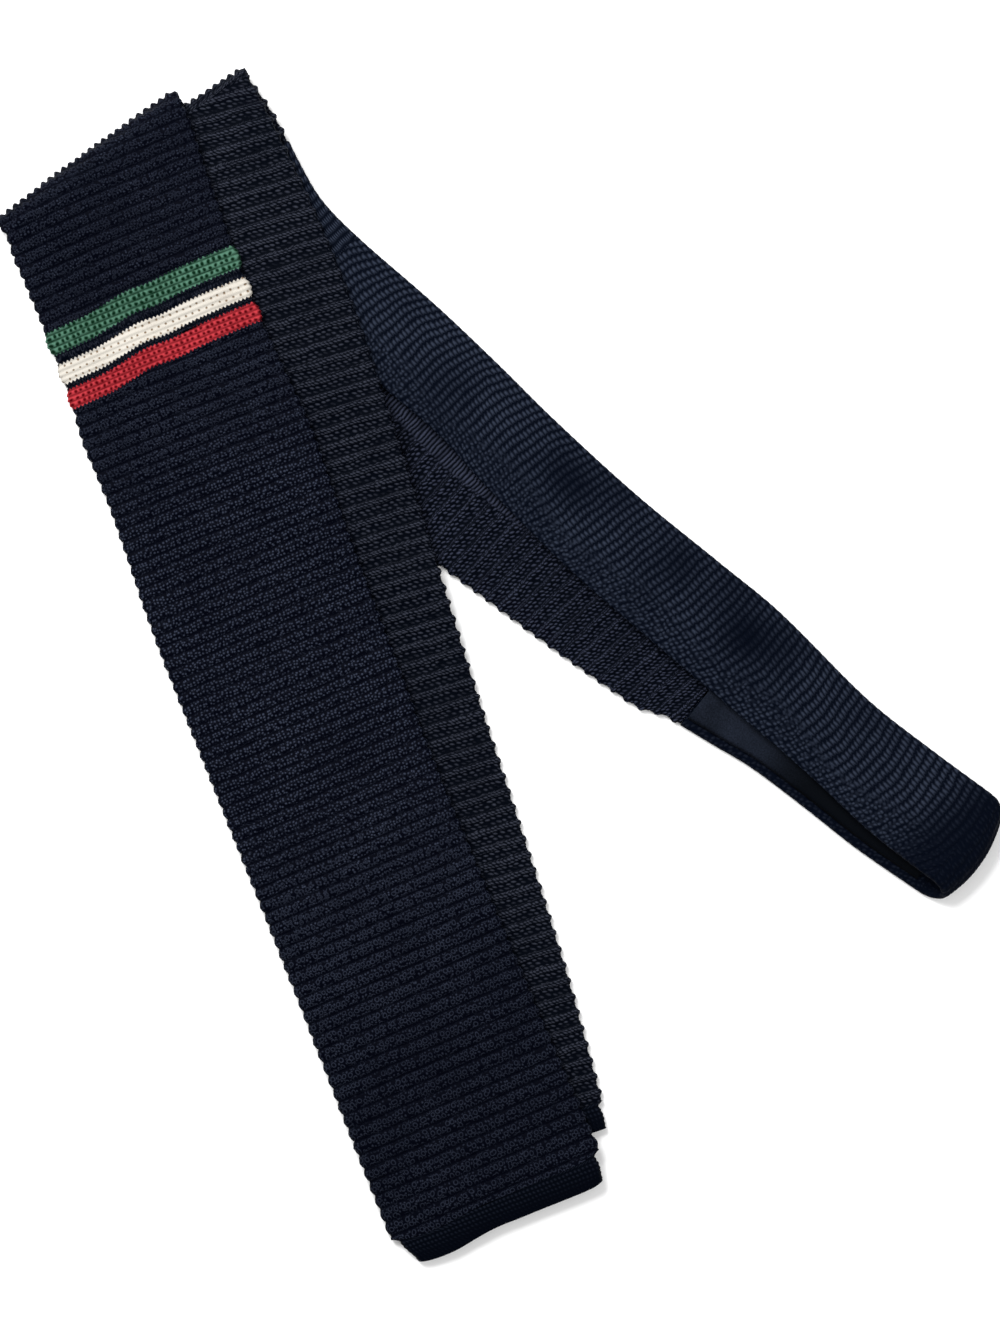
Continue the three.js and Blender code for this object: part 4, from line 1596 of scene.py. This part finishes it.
    def lining(self) -> None:
        """Build the thin satin band on the inner side of the neck, with painted shade that darkens it towards
        the loop.
        """
        leg = self.tube.under
        top, low = self.satin_columns
        a = spread(LINING_START, LINING_END, self.satin_step)[:, None]
        share = np.concatenate([np.linspace(0, -1, low + 1), np.linspace(-1, 1, top + 1)[1:],
                                np.linspace(1, 0, low + 1)[1:]])
        side = np.concatenate([-np.ones(low + 1), np.ones(top), -np.ones(low)])
        v = share * (leg.half_width(a) - LINING_BORDER)
        x, y = leg.plan(a + 0 * v, v)
        seat = leg.thickness(a) + LAYER_GAP + LINING_THICKNESS / 2
        z = seat + side * LINING_THICKNESS / 2 * (1 - self.satin_thinning * np.abs(share) ** 12)
        points = np.stack(np.broadcast_arrays(x, y, z), axis=-1)
        pattern = np.stack(np.broadcast_arrays(v, a + 0 * v), axis=-1)
        # Painted shade: the satin darkens towards the loop, down to satin_shade
        fade = lerp(1.0, self.satin_shade, smoothstep(a + 0 * v, *self.satin_run))
        piece = grid_object("neck_lining_satin", Surface(points, pattern, {"fade": fade}))
        self.dresser.dress(piece, SATIN, "neck_lining", "navy_satin")
        self.pieces["neck_lining"] = piece


@dataclass
class TailLeg(Stretch):
    """The tail, back side up, and the fold that it hangs from."""

    neck_end: float = 67.7
    neck_rows: float = 27.0
    fold_end: float = 20.2
    fold_turns: int = 18
    bumps: float = 0.7
    step: float = 0.5
    fold_step: float = 0.45
    blade_step: float = 0.44
    fold_columns: int = 104
    blade_columns: int = 116
    hem_columns: int = 150
    neck_rib: float = 2.9
    neck_tilt: float = 0.1
    tilt: float = 0.028
    wales: float = 29.0
    hem_wales: float = 36.0
    rib: float = 5.28

    def build(self) -> None:
        """Build the tail fold, the tail blade and its hem."""
        tube = self.tube
        leg = tube.tail
        neck = lambda s, v: self.neck_tilt * v
        tilt = lambda s, v: self.tilt * v
        count = lambda c: c / self.rib
        turn = np.linspace(np.pi, 0, self.fold_turns + 2)[1:-1]
        self.knit("tail_fold", KnitTube(
            Knit.BACK_RIB,
            [LegRun(tube.neck, spread(self.neck_end, self.neck_rows, self.step), skew=neck, other=Knit.NECK,
                    other_count=lambda c: c / self.neck_rib),
             LegRun(tube.neck, spread(self.neck_rows - self.fold_step, 0, self.step), route=-1, skew=neck),
             RollRun(tube.tail_fold, turn, 1, 0, leg.start_lean, bumps=self.bumps, outer=-1),
             LegRun(leg, spread(0, self.fold_end, self.fold_step), skew=tilt)],
            Section.around(self.fold_columns, self.fold_columns, self.edge), self.wales, count, shown=0,
        ), BACK_NAVY)
        self.dresser.dress_other(self.pieces["tail_fold"], NECK_NAVY)
        self.knit("tail_blade", KnitTube(
            Knit.BACK_RIB,
            [LegRun(leg, spread(self.fold_end + JOIN, TAIL_LENGTH, self.blade_step), skew=tilt)],
            Section.around(self.thin, self.blade_columns, self.edge), self.wales, count, shown=-1,
        ), BACK_NAVY)
        columns = Section.around(self.thin, self.hem_columns, self.edge)
        self.hem("tail_hem", leg, columns, self.hem_wales, shown=-1)


@dataclass(frozen=True)
class Band:
    """One band across the front blade: its node, where it lies, and its finish."""

    node: str
    start: float
    end: float
    knit: Knit
    rows: int
    swell: float
    finish: YarnFinish
    slot: str


@dataclass
class FrontLeg(Stretch):
    """The front: the outer fold, the coloured bands, the blade and its hem.

    The ribs are rib wide, and wider by rib_growth past the end of rib_run. The knit has few
    seeds beside its loops near the fold, fewer past fewer_run, and many over seeds_only. Its
    painted light rises over band_run, and painted shade takes tip_shade of it over tip_run. The
    fold is painted darker, at fold_shade.
    """

    wales: float = 42.0
    band_wales: float = 47.0
    across: int = 132
    band_columns: int = 168
    hem_columns: int = 176
    fold_step: float = 0.42
    band_step: float = 0.3
    blade_step: float = 0.46
    blade_start: float = 65.6
    under_end: float = 30.0
    under_step: float = 1.0
    under_offset: float = -19.0
    rib: float = 3.9
    rib_growth: float = 0.75
    rib_run: tuple[float, float] = (180.0, 350.0)
    tilt: float = -0.034
    fold_tilt: float = -0.02
    fold_turns: int = 28
    bumps: float = 0.7
    fold_seeds: float = 0.45
    fold_shade: float = 0.42
    few: float = 0.4
    fewer: float = 0.38
    fewer_run: tuple[float, float] = (200.0, 290.0)
    many: float = 0.9
    seeds_only: tuple[float, float, float, float] = (75.0, 110.0, 200.0, 270.0)
    tones: tuple[float, float] = (0.5, 0.72)
    band_run: tuple[float, float] = (65.0, 130.0)
    tip_shade: float = 0.36
    tip_run: tuple[float, float] = (210.0, 310.0)
    bands: tuple[Band, ...] = (
        Band("green_stripe", 39.5, 47.55, Knit.BAND, 4, 1.0, GREEN, "green_knit"),
        Band("navy_band", 47.6, 50.15, Knit.LINE, 1, -0.1, LINE_NAVY, "navy_knit"),
        Band("white_stripe", 50.2, 57.3, Knit.BAND, 4, 1.0, CREAM, "cream_knit"),
        Band("navy_line", 57.35, 58.55, Knit.LINE, 1, -0.1, LINE_NAVY, "navy_knit"),
        Band("red_stripe", 58.6, 65.55, Knit.BAND, 4, 1.0, RED, "red_knit"),
    )

    def __post_init__(self) -> None:
        """Count the ribs along the leg, every tenth of a millimetre."""
        self.places = np.linspace(0, 420, 4201)
        pitch = self.rib + self.rib_growth * smoothstep(self.places, *self.rib_run)
        self.counts = np.concatenate([[0], np.cumsum(0.1 / pitch[:-1])])

    def ribs(self, c: Array) -> Array:
        """Number of ribs from the fold to a distance along the courses."""
        return np.where(c >= 0, np.interp(c, self.places, self.counts), c / self.rib)

    def seeded(self, run: LegRun, v: Array) -> Array:
        """How far the loops give way to seeds alone, over the middle of the blade.

        Args:
            run: The rows.
            v: Places across the tube.

        Returns:
            1 where there would be seeds alone.
        """
        a = run.a[:, None] + 0 * v
        few = self.few - self.fewer * smoothstep(a, *self.fewer_run)
        middle = smoothstep(a, *self.seeds_only[:2]) * (1 - smoothstep(a, *self.seeds_only[2:]))
        return lerp(few, self.many, middle)

    def painted_shade(self, run: LegRun, v: Array) -> Array:
        """How light the blade is painted: painted shade makes it less so towards its tip and at the bands.

        Args:
            run: The rows.
            v: Places across the tube.

        Returns:
            The share of its full lightness.
        """
        a = run.a[:, None] + 0 * v
        light = lerp(*self.tones, smoothstep(a, *self.band_run))
        return light - self.tip_shade * smoothstep(a, *self.tip_run)

    def build(self) -> None:
        """Build the fold, the bands, the blade and the hem."""
        leg = self.tube.front
        section = Section.around(self.across, self.thin, self.edge)
        turn = np.linspace(0, np.pi, self.fold_turns + 2)[1:-1]
        self.knit("front_fold", KnitTube(
            Knit.FRONT_RIB,
            [LegRun(leg, spread(self.bands[0].start - JOIN, 0, self.fold_step),
                    skew=lambda s, v: self.fold_tilt * v),
             RollRun(self.tube.front_fold, turn, -1, 0, leg.start_lean - self.fold_tilt, bumps=self.bumps),
             LegRun(self.tube.under, spread(0, self.under_end, self.under_step), route=-1,
                    offset=self.under_offset)],
            section, self.wales, self.ribs, plain=lambda run, v: self.fold_seeds + 0 * v * run.thickness(),
            # Painted shade: the fold is darker than the blade, at fold_shade
            fade=lambda run, v: self.fold_shade + 0 * v * run.thickness(),
        ), NAVY)
        for band in self.bands:
            share = lambda c, b=band: (c - b.start) * b.rows / (b.end - b.start)
            self.knit(band.node, KnitTube(
                band.knit, [LegRun(leg, spread(band.start, band.end, self.band_step))],
                Section.around(self.band_columns, self.thin, self.edge), self.band_wales, share, rim=True,
                swell=band.swell,
            ), band.finish, band.slot)
        self.knit("front_blade", KnitTube(
            Knit.FRONT_RIB,
            [LegRun(leg, spread(self.blade_start, FRONT_LENGTH, self.blade_step),
                    skew=lambda s, v: self.tilt * v * smoothstep(s, *COURSE_LOSS_RUN))],
            section, self.wales, self.ribs, plain=self.seeded, fade=self.painted_shade,
        ), NAVY)
        columns = Section.around(self.hem_columns, self.thin, self.edge)
        self.hem("front_hem", leg, columns, self.wales, shown=1)


@dataclass
class Studio:
    """A plain pale floor, a soft room, two broad lights, and the camera straight above.

    Sizes here are in metres and powers in watts.
    """

    floor_size: float = 6.0
    room: float = 0.55
    height: float = 1.5
    sensor: float = 36.0
    lights: tuple[tuple[str, tuple[float, float, float], float, float], ...] = (
        ("window", (-0.55, 0.75, 1.0), 0.7, 26.0),
        ("fill", (0.9, -0.3, 1.1), 1.2, 9.0),
    )

    def floor(self) -> None:
        """Lay the floor just under the tie."""
        bpy.ops.object.select_all(action="DESELECT")
        bpy.ops.mesh.primitive_plane_add(size=self.floor_size, location=(0, 0, -0.00005))
        floor = bpy.context.active_object
        floor.name = "floor"
        material = bpy.data.materials.new("pale_floor")
        material.use_nodes = True
        shader = material.node_tree.nodes["Principled BSDF"]
        shader.inputs["Base Color"].default_value = linear("#f6f6f6")
        shader.inputs["Roughness"].default_value = 0.9
        floor.data.materials.append(material)

    def light(self) -> None:
        """Light the room and the two broad lights, which look at the tie."""
        world = bpy.data.worlds.new("soft_room")
        bpy.context.scene.world = world
        world.use_nodes = True
        background = world.node_tree.nodes["Background"]
        background.inputs["Color"].default_value = (1, 1, 1, 1)
        background.inputs["Strength"].default_value = self.room
        for name, place, size, power in self.lights:
            bpy.ops.object.light_add(type="AREA", location=place)
            light = bpy.context.active_object
            light.name = name
            light.data.size = size
            light.data.energy = power
            flat = math.hypot(place[0], place[1])
            heading = math.atan2(-place[1], -place[0]) - math.pi / 2
            light.rotation_euler = (math.atan2(flat, place[2]), 0, heading)

    def camera(self) -> None:
        """Set the camera straight above the middle of the picture."""
        bpy.ops.object.camera_add(location=(VIEW_X * MM, VIEW_Y * MM, self.height), rotation=(0, 0, 0))
        camera = bpy.context.active_object
        camera.data.sensor_fit = "VERTICAL"
        camera.data.sensor_height = self.sensor
        camera.data.lens = self.sensor * self.height / (VIEW_HEIGHT * MM)
        bpy.context.scene.camera = camera
        bpy.context.scene.view_settings.view_transform = "Standard"


def main() -> None:
    """Build the tie from the table up, then its studio."""
    logging.basicConfig(level=logging.INFO, format="%(message)s")
    tube = LaidTube()
    dresser = Dresser()
    for kind in (UnderLeg, NeckLeg, TailLeg, FrontLeg):
        stretch = kind(tube, dresser)
        stretch.build()
        for node, piece in stretch.pieces.items():
            LOG.info("%s stands for %s: %d faces", piece.name, node, len(piece.data.polygons))
    studio = Studio()
    studio.floor()
    studio.light()
    studio.camera()


if __name__ == "__main__":
    main()
